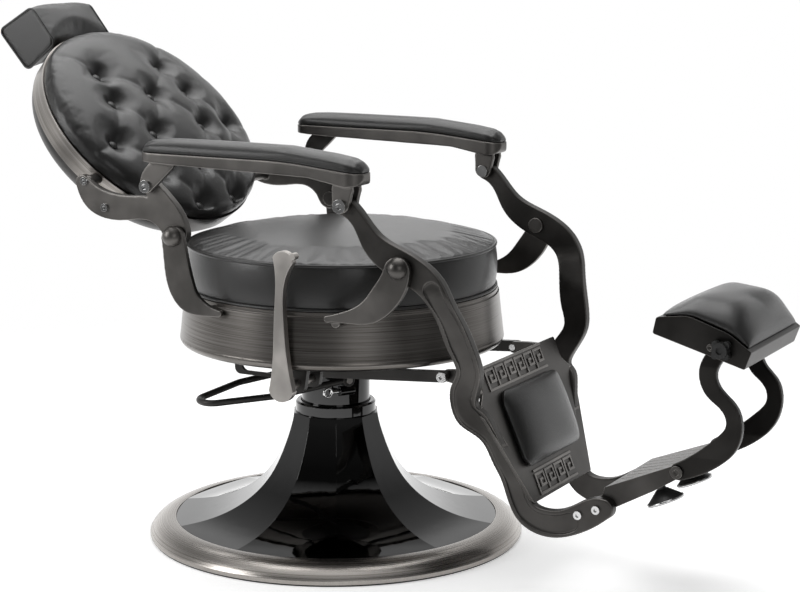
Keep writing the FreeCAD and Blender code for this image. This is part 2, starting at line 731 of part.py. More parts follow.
def bar_slot(slack, foot, top):
    """The space of the headrest's flat bar, in the backrest's own frame."""
    half = size("bar_width") / 2 + slack
    depth = size("bar_depth") + slack
    return Part.makeBox(2 * half, top - foot, size("bar_thickness") + 2 * slack,
                        Vector(-half, foot, -depth - size("bar_thickness") / 2))


def band_envelope():
    depth = size("band_depth")
    rear = 0.98
    wires = [oval(size("back_half_width"), size("back_half_height"), 0),
             oval(size("back_half_width") * rear, size("back_half_height") * rear, -depth)]
    return Part.makeLoft(wires, True, True)


def make_back_band():
    """The metal band around the back, with a slot at its top for the headrest's bar."""
    depth = size("band_depth")
    hole = Part.Face(oval(*BAND_INNER, 1)).extrude(Vector(0, 0, -depth - 2))
    slot = bar_slot(2, size("back_half_height") - 30, size("back_half_height") + 30)
    shape = band_envelope().cut(hole).cut(slot)
    return kept(feature("back_band", shape, BACK_FRAME), "back_band")


def cover_form(wall):
    """The dish behind the band, drawn in by a wall."""
    rim, depth, bulge = size("back_half_width") * 0.975 - wall, -size("band_depth"), size("cover_depth")
    floor = depth - bulge + wall
    points = [(rim, depth), (rim * 0.82, depth - bulge * 0.7 + wall * 0.7), (0, floor)]
    throughs = [(rim * 0.945, depth - bulge * 0.40 + wall * 0.4),
                (rim * 0.42, floor + bulge * 0.075)]
    return revolved(half_section(points, throughs))


def make_back_cover():
    """A dished cover behind the band, hollow inside, bored for the knob's stem."""
    hollow = narrowed(cover_form(0).cut(cover_form(size("shell_wall"))))
    stem = Part.makeCylinder(7.5, 140, Vector(0, KNOB_UP, -150))
    return kept(feature("back_cover", hollow.cut(stem), BACK_FRAME), "back_cover")


def make_back_panel():
    thickness = size("back_panel_thickness")
    face = Part.Face(oval(BAND_INNER[0] - 0.2, BAND_INNER[1] - 0.2, -thickness))
    panel = face.extrude(Vector(0, 0, thickness))
    return kept(feature("back_panel", panel, BACK_FRAME), "back_panel")


BUTTON_ROWS = ((107, (-98, 98)), (40, (-119, 0, 119)), (-42, (-185, -70, 92, 185)),
               (-122, (-118, 0, 118)), (-200, (-56, 56)))
CHANNEL_REACH = 100
EDGE_WIDTH = 27


def crown_height(across, along):
    """The height of the cushion's round form over a point inside its edge."""
    crown, edge = size("back_crown"), size("back_half_width") - EDGE_WIDTH
    drop = crown * 0.36
    ball = (edge * edge + drop * drop) / (2 * drop)
    return crown - ball + math.sqrt(ball * ball - across * across - along * along)


def cushion_form():
    """The crown of the back cushion before it is buttoned, still round."""
    radius, crown = size("back_half_width"), size("back_crown")
    edge = radius - EDGE_WIDTH
    points = [(radius - 4, 0.1), (radius - 5, crown * 0.34), (edge, crown * 0.64), (0, crown)]
    throughs = [(radius, crown * 0.17), (radius - 13, crown * 0.52),
                (edge / 2, crown_height(edge / 2, 0))]
    return revolved(half_section(points, throughs))


def button_places():
    """The buttons on the round form, row by row, spread as the oval draws them in."""
    stretch = size("back_half_width / back_half_height")
    return [[(across, rise * stretch) for across in spots] for rise, spots in BUTTON_ROWS]


def make_back_cushion():
    """A crowned cushion drawn down at its buttons, with channels between them."""
    shape = cushion_form()
    sink, radius = size("button_sink"), size("button_radius")
    rows = button_places()
    for row, above in zip(rows[1:], rows):
        for start_spot in row:
            for end_spot in above:
                if abs(start_spot[0] - end_spot[0]) > CHANNEL_REACH:
                    continue
                start = Vector(*start_spot, crown_height(*start_spot) + 1)
                run = Vector(*end_spot, crown_height(*end_spot) + 1) - start
                shape = shape.cut(Part.makeCylinder(5, run.Length, start, run))
    for spot in sum(rows, []):
        foot = Vector(*spot, crown_height(*spot) - sink)
        shape = shape.cut(Part.makeCone(radius - 1, radius + 15, sink + 4, foot))
    return kept(feature("back_cushion", narrowed(shape), BACK_FRAME), "back_cushion")


def make_tuft_buttons():
    """Domed buttons seated in the cushion's dimples."""
    radius, sink = size("button_radius"), size("button_sink")
    squeeze = size("back_half_height / back_half_width")
    buttons = []
    for across, along in sum(button_places(), []):
        foot = crown_height(across, along) - sink
        spot = Vector(across, along * squeeze + size("back_lift"), foot)
        ball = Part.makeSphere(radius * 1.25, spot - Vector(0, 0, radius * 0.75))
        buttons.append(ball.common(Part.makeCylinder(radius - 2.5, radius, spot)))
    return kept(feature("tuft_buttons", Part.makeCompound(buttons), BACK_FRAME), "tuft_buttons")


def bracket_screw_points():
    """Where the brackets are screwed to the band, in the side view."""
    y, z = ARM_PIVOT
    return [(y + 96, z - 45), (y + 140, z)]


def make_back_bracket(name):
    """A cast bracket from the recline pivot past the arm's pivot to the back's band."""
    y, z = BACK_PIVOT
    arm_y, arm_z = ARM_PIVOT
    rear = bracket_screw_points()
    outer, thickness = size("bracket_face"), size("bracket_thickness")
    post = ribbon([(y, z, 25), (y + 14, z + 30, 26), ((y + arm_y) / 2 + 4, (z + arm_z) / 2 + 14, 21),
                   (arm_y, arm_z, 15)])
    strap = ribbon([(y + 12, z + 20, 24), (y + 60, z + 44, 21), (y + 105, z + 42, 22),
                    (rear[0][0] + 6, rear[0][1] + 6, 24), (rear[1][0] + 8, rear[1][1], 13)])
    shape = side_plate(post, outer, thickness).fuse(side_plate(strap, outer, thickness))
    envelope = band_envelope()
    envelope.Placement = BACK_FRAME
    for spot in rear:
        pad = pin(spot, outer - thickness / 2, outer, 9.5)
        near_side = Part.makeBox(outer, 400, 400, Vector(-outer - 1, spot[0] - 200, spot[1] - 200))
        far_side = Part.makeBox(outer, 400, 400, Vector(-outer / 3, spot[0] - 200, spot[1] - 200))
        shape = shape.fuse(pad.common(near_side).cut(envelope).cut(far_side))
    for centre in (BACK_PIVOT, ARM_PIVOT):
        fit = size("running_fit") if centre == BACK_PIVOT else 0
        shape = shape.cut(pin(centre, outer + 1, thickness + 2, size("pivot_radius") + fit))
    return feature(name, shape)


def screw_head(centre, face, radius=7, height=4):
    """A round socket screw head standing outwards from x = -face."""
    socket = Part.makeCylinder(radius * 0.45, height, Vector(-face - height - 1, *centre),
                               Vector(1, 0, 0))
    return pin(centre, face + height, height, radius).cut(socket)


def make_back_screws():
    """The screws of the brackets, and the pins that carry the arms."""
    face = size("bracket_face")
    heads = [screw_head(spot, face) for spot in bracket_screw_points()]
    ear_out = face + size("side_gap + ear_thickness + side_gap")
    inner = face - size("bracket_thickness")
    arm_pin = pin(ARM_PIVOT, ear_out, ear_out - inner, size("pivot_radius"))
    heads.append(arm_pin.fuse(screw_head(ARM_PIVOT, ear_out, 11, 5)))
    heads += [head.mirror(Vector(), Vector(1, 0, 0)) for head in heads]
    return kept(feature("back_screws", Part.makeCompound(heads)), "back_screws")


GUIDE_FOOT, GUIDE_TOP = 118, 206
KNOB_UP = 160


def make_headrest_guide():
    """A block on the back of the panel, with a slot that the headrest's bar slides in."""
    thickness = size("back_panel_thickness")
    half = size("bar_width") / 2 + 9
    rear = size("bar_depth + bar_thickness / 2") + 6
    block_shape = Part.makeBox(2 * half, GUIDE_TOP - GUIDE_FOOT, rear - thickness,
                               Vector(-half, GUIDE_FOOT, -rear))
    shape = block_shape.cut(bar_slot(0.3, GUIDE_FOOT - 1, GUIDE_TOP + 1))
    return kept(feature("headrest_guide", shape, BACK_FRAME), "headrest_guide")


def make_headrest_knob():
    """A clamping knob behind the back, on a stem that bears on the guide."""
    rear = size("bar_depth + bar_thickness / 2") + 6.2
    outside = size("band_depth + cover_depth") + 4
    radius = size("knob_radius")
    stem = Part.makeCylinder(6, outside - rear, Vector(0, KNOB_UP, -outside))
    grip = Part.makeCylinder(radius, 20, Vector(0, KNOB_UP, -outside - 20))
    grip = grip.makeFillet(4, [edge for edge in grip.Edges if edge.Closed])
    for index in range(8):
        angle = math.radians(45 * index)
        flute = Vector((radius + 4) * math.cos(angle), KNOB_UP + (radius + 4) * math.sin(angle),
                       -outside - 21)
        grip = grip.cut(Part.makeCylinder(7, 22, flute))
    return kept(feature("headrest_knob", stem.fuse(grip), BACK_FRAME), "headrest_knob")


def make_headrest_bar():
    top = size("headrest_base") + 50
    bar = bar_slot(0, size("headrest_base") - 182, top)
    return kept(feature("headrest_bar", bar, BACK_FRAME), "headrest_bar")


def make_headrest_cushion():
    """A box pillow over the top of the flat bar, its foot arched over the back's rim."""
    half, tall, deep = (size("headrest_width") / 2, size("headrest_height"),
                        size("headrest_thickness"))
    base, front = size("headrest_base"), 6
    wires = []
    for share, swell, arch in ((-1, 0, 0), (-0.55, 4, 8), (0, 5, 12), (0.55, 4, 8), (1, 0, 0)):
        across, foot, top = half * share, base + arch, base + tall + swell
        corners = [(foot, front - 6 + swell, 22), (top - 10, front + swell, 9),
                   (top + 11, front + 3 - deep, 12), (foot + 6, front - deep - swell, 14)]
        face = rounded(corners)
        face.translate(Vector(across, 0, 0))
        wires.append(face.OuterWire)
    shape = Part.makeLoft(wires, True, False).cut(bar_slot(0, foot - 1, foot + 50))
    return kept(feature("headrest_cushion", shape, BACK_FRAME), "headrest_cushion")


# the arms, each hinged on the back and linked to a leg

ARM_REAR, ARM_NOSE = ARM_PIVOT[0] + 14, LINK_PIVOT[0] - 40
ARM_KNEE = LINK_PIVOT[0] + 110
ARM_CORNER = 27


def arm_tray():
    """The metal part under the pad: rounded in plan, and bent down towards its nose."""
    outer, width = size("arm_face"), size("arm_width")
    floor, seam, droop = size("arm_floor"), size("arm_seam"), size("arm_droop")
    side = rounded([(ARM_REAR, seam, 4), (ARM_REAR - 1, floor + 4, 8), (ARM_REAR - 70, floor + 1, 40),
                    (LINK_PIVOT[0] + 60, floor - 5, 120), (LINK_PIVOT[0] - 12, floor - droop - 3, 14),
                    (ARM_NOSE + 4, floor - droop, 14), (ARM_NOSE, seam - droop, 4),
                    (ARM_KNEE, seam, 900)])
    plan = Part.Face(rounded_rectangle(width / 2, (ARM_REAR - ARM_NOSE) / 2, ARM_CORNER, floor - 30))
    plan.translate(Vector(width / 2 - outer, (ARM_REAR + ARM_NOSE) / 2, 0))
    return side_plate(side, outer, width).common(plan.extrude(Vector(0, 0, 70)))


def make_arm_frame(name):
    """The tray with an ear at its back, and a fork for the leg under its nose."""
    outer, width, floor = size("arm_face"), size("arm_width"), size("arm_floor")
    shape = arm_tray()
    ear, gap = size("ear_thickness"), size("side_gap")
    rear_ear = ribbon([(ARM_PIVOT[0] - 52, floor + 2, 10), (ARM_PIVOT[0] - 33, floor - 6, 17),
                       (ARM_PIVOT[0] - 13, floor - 21, 19), (*ARM_PIVOT, 14)])
    shape = shape.fuse(side_plate(rear_ear, size("bracket_face") + gap + ear, ear))
    fork = ribbon([(LINK_PIVOT[0] - 3, floor - 22, 20), (LINK_PIVOT[0] - 2, floor - 32, 18),
                   (*LINK_PIVOT, 16)])
    leg_outer, leg_inner = size("leg_face"), size("leg_face - leg_thickness")
    for side in (leg_outer + gap + ear, leg_inner - gap):
        shape = shape.fuse(side_plate(fork, side, ear))
    rear_bore = pin(ARM_PIVOT, outer + 5, width + 5, size("pivot_radius + running_fit"))
    front_bore = pin(LINK_PIVOT, outer + 5, width + 5, size("link_pin_radius + link_slack"))
    return feature(name, shape.cut(rear_bore).cut(front_bore).removeSplitter())


PAD_INSET = 3
PAD_ENDS = ((0, 14, 0.30), (3, 19, 0.48), (10, 25, 0.74), (24, 28.6, 0.92), (56, 29, 1))


def pad_section(along, half, rise):
    """A crowned section across the arm, with its foot below the tray's top."""
    bend = max(0, (ARM_KNEE - along) / (ARM_KNEE - ARM_NOSE))
    foot = size("arm_seam") - size("arm_droop") * bend - 4
    top, scale = foot + 4 + rise, rise / size("arm_top - arm_seam")
    shoulder = foot + 4 + rise * 0.55
    face = rounded([(-half, foot, 1), (-half, shoulder, 7 * scale), (-half * 0.45, top, 9 * scale),
                    (half * 0.45, top, 9 * scale), (half, shoulder, 7 * scale), (half, foot, 1)])
    face.rotate(Vector(), Vector(0, 0, 1), -90)
    face.translate(Vector(size("arm_width") / 2 - size("arm_face"), along, 0))
    return face.OuterWire


def make_arm_pad(name):
    """A long crowned leather pad, rounded down at both ends, that follows the tray."""
    rise = size("arm_top - arm_seam")
    rear = [(ARM_REAR - PAD_INSET - end, half, share) for end, half, share in PAD_ENDS]
    nose = [(ARM_NOSE + PAD_INSET + end, half, share) for end, half, share in PAD_ENDS]
    stations = rear + [(ARM_KNEE, *PAD_ENDS[-1][1:])] + nose[::-1]
    wires = [pad_section(along, half, rise * share) for along, half, share in stations]
    above = Part.makeLoft(wires, True, True).cut(arm_tray())
    return feature(name, max(above.Solids, key=lambda solid: solid.Volume))


# the leg frame, which swings on the front uprights

def leg_stations():
    """The leg from the arm's front pivot down to its toe on the step."""
    y, z = LEG_PIVOT
    top_y, top_z = LINK_PIVOT
    route = [(-82, 76, 14), (-58, 42, 19), (0, 4, 26), (58, -33, 24), (80, -84, 23), (95, -139, 24),
             (103, -180, 22), (87, -216, 23), (80, -246, 25), (88, -268, 30), (111, -298, 20),
             (127, -348, 20), (143, -398, 21), (165, -441, 22), (207, -455, 24), (250, -445, 24),
             (288, -424, 24), (313, -415, 17)]
    return [(top_y, top_z, 17)] + [(y - ahead, z + rise, half) for ahead, rise, half in route]


LEG_LEAN = ((-30, 1), (-88, 0.87), (-179, 0.68), (-238, 0.51), (-310, 0.26), (-362, 0.08),
            (-398, 0))
HEAD_RISE = 170
TOE_DEPTH = 110


def leg_slab(outset, thickness):
    """A sheet that follows the leg's lean, seen from the front, straight at head and toe."""
    z = LEG_PIVOT[1]
    face, toe = size("leg_face"), size("toe_face")
    outer, inner = [], []
    for rise, share in LEG_LEAN:
        x = -(toe + (face - toe) * share) - outset
        outer.append(Vector(x, -700, z + rise))
        inner.append(Vector(x + thickness, -700, z + rise))
    down = Vector(0, 0, -1)
    edges, ends = [], []
    for points in (outer, inner):
        curve = Part.BSplineCurve()
        curve.interpolate(Points=points, InitialTangent=down, FinalTangent=down)
        ends.append((points[0] - down * HEAD_RISE, points[-1] + down * TOE_DEPTH))
        edges.append([Part.LineSegment(ends[-1][0], points[0]).toShape(), curve.toShape(),
                      Part.LineSegment(points[-1], ends[-1][1]).toShape()])
    (outer_top, outer_foot), (inner_top, inner_foot) = ends
    foot_edge = Part.LineSegment(outer_foot, inner_foot).toShape()
    top_edge = Part.LineSegment(inner_top, outer_top).toShape()
    outline = edges[0] + [foot_edge] + edges[1][::-1] + [top_edge]
    return Part.Face(Part.Wire(outline)).extrude(Vector(0, 700, 0))


def leg_solid():
    """The whole leg without its bores."""
    form = side_plate(ribbon(leg_stations()), 320, 250)
    return form.common(leg_slab(0, size("leg_thickness")))


def make_leg(name):
    """A curved casting with a groove along its outer face."""
    shape = leg_solid()
    inset = [(y, z, half - 8) for y, z, half in leg_stations()[4:-2]]
    groove = side_plate(ribbon(inset), 330, 290).common(leg_slab(5, 9))
    shape = shape.cut(groove)
    face, thickness = size("leg_face"), size("leg_thickness")
    bores = ((LEG_PIVOT, size("pivot_radius + running_fit")), (LINK_PIVOT, size("link_pin_radius")))
    for centre, radius in bores:
        shape = shape.cut(pin(centre, face + 5, thickness + 10, radius))
    return feature(name, shape)


def calf_shape():
    """The calf plate, widened to the legs below its top band, before its lugs."""
    top, bottom = size("calf_top_half"), size("calf_bottom_half")
    length, thickness = size("calf_length"), size("calf_plate_thickness")
    shoulder = size("band_height") + 14
    wide = top + 34
    half = [(top, 0, 4), (top, 8 - shoulder + 10, 20), (wide, -shoulder - 12, 12),
            (bottom + 18, -length, 4)]
    corners = half + [(-x, y, radius) for x, y, radius in half[::-1]]
    face = rounded([(x, y, radius) for x, y, radius in corners])
    face.Placement = FreeCAD.Placement(Vector(0, 0, -thickness), FLAT)
    plate = face.extrude(Vector(0, 0, thickness))
    plate.Placement = CALF_FRAME.multiply(plate.Placement)
    return plate


def make_calf_plate():
    """A plate between the legs, with two lugs behind it for the push bars."""
    right_leg = leg_solid()
    shape = calf_shape().cut(right_leg).cut(right_leg.mirror(Vector(), Vector(1, 0, 0)))
    shape = max(shape.Solids, key=lambda solid: solid.Volume)
    y, z = BAR_BOLT
    lug_face = size("push_bar_half - push_bar_thickness / 2 - side_gap")
    start = CALF_FRAME.multVec(Vector(0, -38, -4))
    lug = ribbon([(start.y, start.z, 24), ((start.y + y) / 2, (start.z + z) / 2 + 4, 16),
                  (y, z, 10)])
    for outer in (lug_face, 10 - lug_face):
        part = side_plate(lug, outer, 10).cut(pin(BAR_BOLT, 200, 400, size("pivot_radius") - 2))
        front = CALF_FRAME.copy()
        keep_out = Part.makeBox(500, 400, 200, Vector(-250, -300, 0))
        keep_out.Placement = front
        shape = shape.fuse(part.cut(keep_out))
    return kept(feature("calf_plate", shape.removeSplitter()), "calf_plate")


MEANDER = ((0, 1), (0, 8), (7, 8), (7, 3), (3, 3), (3, 5.4), (5, 5.4))
MEANDER_PITCH = 9


def make_key_bands():
    """Raised meander bands above and below the calf pad, on the plate."""
    relief = size("band_relief")
    height = size("band_height")
    cell = height / 10
    stroke = cell * 0.95
    bands = []
    rows = ((-2 - height, -size("band_span"), 6), (-size("calf_length") + 6, -size("foot_span"), 4))
    for foot, left, repeats in rows:
        width = repeats * MEANDER_PITCH * cell
        strips = [Part.makeBox(width, stroke, relief, Vector(left, foot + side, 0))
                  for side in (0, 9.6 * cell)]
        for index in range(repeats):
            corner = left + index * MEANDER_PITCH * cell
            route = [(corner + x * cell, foot + y * cell) for x, y in MEANDER]
            for (x1, y1), (x2, y2) in zip(route, route[1:]):
                low_x, low_y = min(x1, x2), min(y1, y2)
                strips.append(Part.makeBox(abs(x2 - x1) + stroke, abs(y2 - y1) + stroke, relief,
                                           Vector(low_x, low_y, 0)))
        bands.append(strips[0].multiFuse(strips[1:]).removeSplitter())
    return kept(feature("key_bands", Part.makeCompound(bands), CALF_FRAME), "key_bands")


def make_calf_pad():
    """A crowned leather pad with large round corners."""
    half, tall, deep = (size("calf_pad_half"), size("calf_pad_height") / 2,
                        size("calf_pad_thickness"))
    levels = ((2, 0.1), (0, deep * 0.3), (5, deep * 0.66), (20, deep * 0.9), (48, deep))
    wires = [rounded_rectangle(half - side, tall - side, max(24 - side * 0.2, 12), up, 3)
             for side, up in levels]
    shape = Part.makeLoft(wires, True, False)
    middle = size("band_height") + 9 + tall
    place_at = CALF_FRAME.multiply(FreeCAD.Placement(Vector(0, -middle, 0), FreeCAD.Rotation()))
    return kept(feature("calf_pad", shape, place_at), "calf_pad")


# the step and the foot rest

STEP_REAR_HALF = "toe_face - leg_thickness"


def step_plan(inset, front, rear):
    """The plan of the step, narrower at its front, drawn in by inset on each side."""
    back_half, front_half = size(STEP_REAR_HALF) - inset, size("step_front_half") - inset
    length = size("step_length")
    taper = (back_half - front_half) / length
    corners = [(back_half, rear), (back_half, 0), (back_half - taper * front, -front),
               (-back_half + taper * front, -front), (-back_half, 0), (-back_half, rear)]
    points = [Vector(x, y, 0) for x, y in corners]
    return Part.Face(Part.makePolygon(points + points[:1]))


TOE_REACH = 68


def make_step():
    """A tread with deep side rails, which the toes of the legs are screwed to."""
    length, rail = size("step_length"), size("rail_height")
    side = rounded([(TOE_REACH, -14, 8), (6, -10, 6), (-2, 2, 3), (-length, 2, 3),
                    (-length, -18, 6), (-length * 0.55, 1 - rail, 30), (8, -8 - rail, 20),
                    (TOE_REACH, -5 - rail, 8)])
    half = size(STEP_REAR_HALF)
    solid = side.extrude(Vector(2 * half, 0, 0)).translated(Vector(-half, 0, 0))
    solid = solid.common(step_plan(0, length + 1, TOE_REACH + 1).extrude(Vector(0, 0, 200))
                         .translated(Vector(0, 0, -100)))
    rail_wall = size("rail_thickness")
    under = 2 - size("step_thickness")
    hollow = step_plan(rail_wall, length - rail_wall, TOE_REACH + 1).extrude(Vector(0, 0, 100))
    shape = solid.cut(hollow.translated(Vector(0, 0, under - 100)))
    rear_room = Part.makeBox(2 * (half - rail_wall), TOE_REACH + 20, 100,
                             Vector(rail_wall - half, 7, -80))
    hinge_bore = pin(FOOT_HINGE, 200, 400, size("foot_pin_radius"))
    hinge_bore.Placement = STEP_FRAME.inverse().multiply(hinge_bore.Placement)
    shape = shape.cut(rear_room).cut(hinge_bore)
    groove = 2.2
    for way in (-1, 1):
        for index in range(-6, 7):
            line = Part.makeBox(2.4, 400, groove, Vector(-1.2, -200, 0))
            line.rotate(Vector(), Vector(0, 0, 1), 38 * way)
            line.translate(Vector(index * 26, -length / 2, 2 - groove / 2))
            field = step_plan(rail_wall + 5, length - 14, -12).extrude(Vector(0, 0, 20))
            shape = shape.cut(line.common(field))
    return kept(feature("step", shape, STEP_FRAME), "step")


def make_step_glides():
    """Two flared glides under the step, each with a thin metal rim."""
    glides = []
    under = 2 - size("step_thickness")
    rail = size("rail_height")
    for way in (-1, 1):
        spot = Vector(way * (size("step_front_half") - 14), -size("step_length") * 0.58, 0)
        stem = Part.makeCylinder(8, rail + 2 + under, Vector(spot.x, spot.y, -rail - 2))
        flare = Part.makeCone(31, 10, 18, Vector(spot.x, spot.y, -rail - 20))
        rim = Part.makeCylinder(32, 5, Vector(spot.x, spot.y, -rail - 25))
        glides.append(stem.fuse(flare).fuse(rim).removeSplitter())
    return kept(feature("step_glides", Part.makeCompound(glides), STEP_FRAME), "step_glides")


def toe_screw_points():
    return [STEP_FRAME.multVec(Vector(0, along, -29)) for along in (18, 54)]


def make_frame_screws():
    """Toe screws, push-bar bolts and the loose pins between the legs and the arms."""
    heads = []
    for spot in toe_screw_points():
        heads.append(screw_head((spot.y, spot.z), size("toe_face"), 7.5, 4))
    bar_outer = size("push_bar_half + push_bar_thickness / 2")
    lug_inner = size("push_bar_half - push_bar_thickness / 2") - 12
    bolt = pin(BAR_BOLT, bar_outer + 0.5, bar_outer - lug_inner, size("pivot_radius") - 2)
    heads.append(bolt.fuse(screw_head(BAR_BOLT, bar_outer + 0.5, 9, 5)))
    outer = size("leg_face + side_gap + ear_thickness + side_gap")
    inner = size("leg_face - leg_thickness - side_gap - ear_thickness - side_gap")
    link = pin(LINK_PIVOT, outer, outer - inner, size("link_pin_radius"))
    link = link.fuse(screw_head(LINK_PIVOT, outer, 12, 5)).fuse(pin(LINK_PIVOT, inner, 3, 11))
    heads.append(link)
    heads += [head.mirror(Vector(), Vector(1, 0, 0)) for head in heads]
    return kept(feature("frame_screws", Part.makeCompound(heads)), "frame_screws")


def make_push_bar(name):
    """A flat bar from a lug of the calf plate to a pin in its guide's slot."""
    outer = size("push_bar_half + push_bar_thickness / 2")
    thickness, half = size("push_bar_thickness"), size("push_bar_height") / 2
    start, end = Vector(0, *BAR_BOLT), Vector(0, *GUIDE)
    along = (end - start).normalize()
    up = Vector(0, -along.z, along.y)
    corners = [start - along * half + up * half, end + along * half + up * half,
               end + along * half - up * half, start - along * half - up * half]
    face = rounded([(point.y, point.z, half - 0.1) for point in corners])
    bar = side_plate(face, outer, thickness)
    bar = bar.cut(pin(BAR_BOLT, outer + 1, thickness + 2, size("pivot_radius") - 1.95))
    radius = size("pivot_radius") - 2
    guide_pin = pin(GUIDE, outer + 0.5, thickness + 9, radius)
    bar = bar.fuse(guide_pin).fuse(screw_head(GUIDE, outer, 11, 5))
    return feature(name, bar)


def foot_lean():
    """A sheet, seen from the front, that spreads from the step out to the foot rest."""
    low, high = size("foot_arm_half"), size("foot_arm_half + foot_arm_spread")
    thickness = size("foot_arm_thickness")
    steps = ((-60, low), (30, low), (190, high), (300, high))
    outer = [Vector(-x, -1000, FOOT_HINGE[1] + rise) for rise, x in steps]
    inner = [point + Vector(thickness, 0, 0) for point in outer[::-1]]
    return Part.Face(Part.makePolygon(outer + inner + outer[:1])).extrude(Vector(0, 1000, 0))


def make_foot_arm(name):
    """An S-shaped cast bar from the front of the step to the foot rest."""
    hinge_y, hinge_z = FOOT_HINGE
    tilt_y, tilt_z = TILT_PIVOT
    stations = [(hinge_y, hinge_z, 15), (hinge_y - 30, hinge_z + 14, 18),
                (hinge_y - 60, hinge_z + 34, 20), (hinge_y - 87, hinge_z + 60, 19),
                (hinge_y - 100, hinge_z + 90, 14), (hinge_y - 92, hinge_z + 121, 13),
                (hinge_y - 67, hinge_z + 146, 14), (hinge_y - 56, hinge_z + 176, 15),
                (tilt_y + 20, tilt_z - 22, 15), (tilt_y, tilt_z, 13)]
    bar = side_plate(ribbon(stations), 200, 150).common(foot_lean())
    for centre, radius in ((FOOT_HINGE, "foot_pin_radius"), (TILT_PIVOT, "pivot_radius")):
        bar = bar.cut(pin(centre, 200, 150, size(radius + " + running_fit")))
    return feature(name, bar)


def make_foot_hinge_pins():
    """Two shouldered pins in the rails of the step, which carry the foot arms."""
    outer, inner = size("foot_arm_half") + 0.5, size("step_front_half") - 8
    stub = pin(FOOT_HINGE, outer, outer - inner, size("foot_pin_radius"))
    stub = stub.fuse(screw_head(FOOT_HINGE, outer, 11, 4))
    both = Part.makeCompound([stub, stub.mirror(Vector(), Vector(1, 0, 0))])
    return kept(feature("foot_hinge_pins", both), "foot_hinge_pins")


def tray_outline(inset=0):
    """The side of the foot rest's tray, around its tilt pivot, drawn in by a wall."""
    y, z = TILT_PIVOT
    corners = [(123 - inset, 15 - 3 * inset, 4), (117 - inset, 43 - inset, 5),
               (62, 50 - inset, 60), (-10, 26 - inset, 60), (-49 + inset, -1 - inset, 2),
               (-38 + inset, -31 - 3 * inset, 3)]
    return rounded([(y + ahead, z + rise, radius) for ahead, rise, radius in corners])


def tray_envelope():
    half = size("foot_pad_length") / 2
    return side_plate(tray_outline(), half, 2 * half)


def make_foot_tray():
    """A cast tray, open below, that the foot arms reach up into."""
    half, wall = size("foot_pad_length") / 2, size("foot_tray_wall")
    room = side_plate(tray_outline(wall), half - wall, 2 * (half - wall))
    shape = tray_envelope().cut(room)
    shape = shape.cut(pin(TILT_PIVOT, half + 1, 2 * half + 2, size("pivot_radius")))
    return kept(feature("foot_tray", shape), "foot_tray")


def make_foot_pad():
    """A leather pad, domed both ways, on the curved top of the tray."""
    y, z = TILT_PIVOT
    half = size("foot_pad_length") / 2 - 1
    wires = []
    for across, swell in ((-1, 0.1), (-0.8, 0.72), (0, 1), (0.8, 0.72), (1, 0.1)):
        corners = [(111, 30, 1.5), (111, 47 + 5 * swell, 3), (62, 55 + 22 * swell, 40),
                   (-14, 33 + 36 * swell, 40), (-43, 5 + 18 * swell, 4), (-43, -14, 1.5)]
        face = rounded([(y + ahead, z + rise, radius) for ahead, rise, radius in corners])
        face.translate(Vector(half * across, 0, 0))
        wires.append(face.OuterWire)
    shape = Part.makeLoft(wires, True, False).cut(tray_envelope())
    return kept(feature("foot_pad", shape), "foot_pad")


def make_tilt_pins():
    """The pins of the foot rest, with a small stop screw beside each."""
    half = size("foot_pad_length") / 2
    inner = size("foot_arm_half + foot_arm_spread - foot_arm_thickness") - 3
    stub = pin(TILT_PIVOT, half, half - inner, size("pivot_radius"))
    near = stub.cut(pin(TILT_PIVOT, half + 1, half, 3 + size("running_fit")))
    far = stub.mirror(Vector(), Vector(1, 0, 0))
    stops = []
    stop = screw_head((TILT_PIVOT[0] + 21, TILT_PIVOT[1] + 1), half, 6, 3)
    stops += [stop, stop.mirror(Vector(), Vector(1, 0, 0))]
    return kept(feature("tilt_pins", Part.makeCompound([near, far] + stops)), "tilt_pins")


def make_tilt_knob():
    """A lobed clamping knob on the sitter's right of the foot rest."""
    face = size("foot_pad_length") / 2 + 0.4
    hub = pin(TILT_PIVOT, face + 18, 18, 13)
    shape = hub.fuse(pin(TILT_PIVOT, face, 14, 3))
    for index in range(4):
        angle = math.radians(45 + 90 * index)
        spot = (TILT_PIVOT[0] + 13 * math.cos(angle), TILT_PIVOT[1] + 13 * math.sin(angle))
        shape = shape.fuse(pin(spot, face + 14, 11, 6))
    shape = shape.cut(pin(TILT_PIVOT, face + 19, 4, 6))
    return kept(feature("tilt_knob", shape), "tilt_knob")


def build_chair():
    make_base_plate()
    make_floor_gasket()
    make_bell_cover()
    make_bell_collar()
    make_column()
    make_column_bolts()
    make_thrust_washer()

    make_pump_cylinder()
    make_pump_head()
    make_gland_ring()
    kept(feature("pedal_pins", pedal_pin_shape(0)), "pedal_pins")
    make_lock_pin()
    make_pedal()

    make_ram()
    make_piston()
    make_mount_plate()
    make_seat_pan()
    make_seat_panel()
    make_seat_cushion()
    pair(make_rear_upright, "rear_upright")
    pair(make_front_upright, "front_upright")
    make_pivot_studs()
    make_guide_brackets()
    make_lever_bracket()
    make_recline_lever()

    pair(make_back_bracket, "back_bracket")
    make_back_band()
    make_back_cover()
    make_back_panel()
    make_back_cushion()
    make_tuft_buttons()
    make_back_screws()
    make_headrest_guide()
    make_headrest_knob()
    make_headrest_bar()
    make_headrest_cushion()

    pair(make_arm_frame, "arm_frame")
    pair(make_arm_pad, "arm_pad")
    pair(make_leg, "leg")
    make_calf_plate()
    make_key_bands()
    make_calf_pad()
    make_step()
    make_step_glides()
    make_frame_screws()
    pair(make_push_bar, "push_bar")
    make_foot_hinge_pins()
    pair(make_foot_arm, "foot_arm")
    make_foot_tray()
    make_foot_pad()
    make_tilt_pins()
    make_tilt_knob()


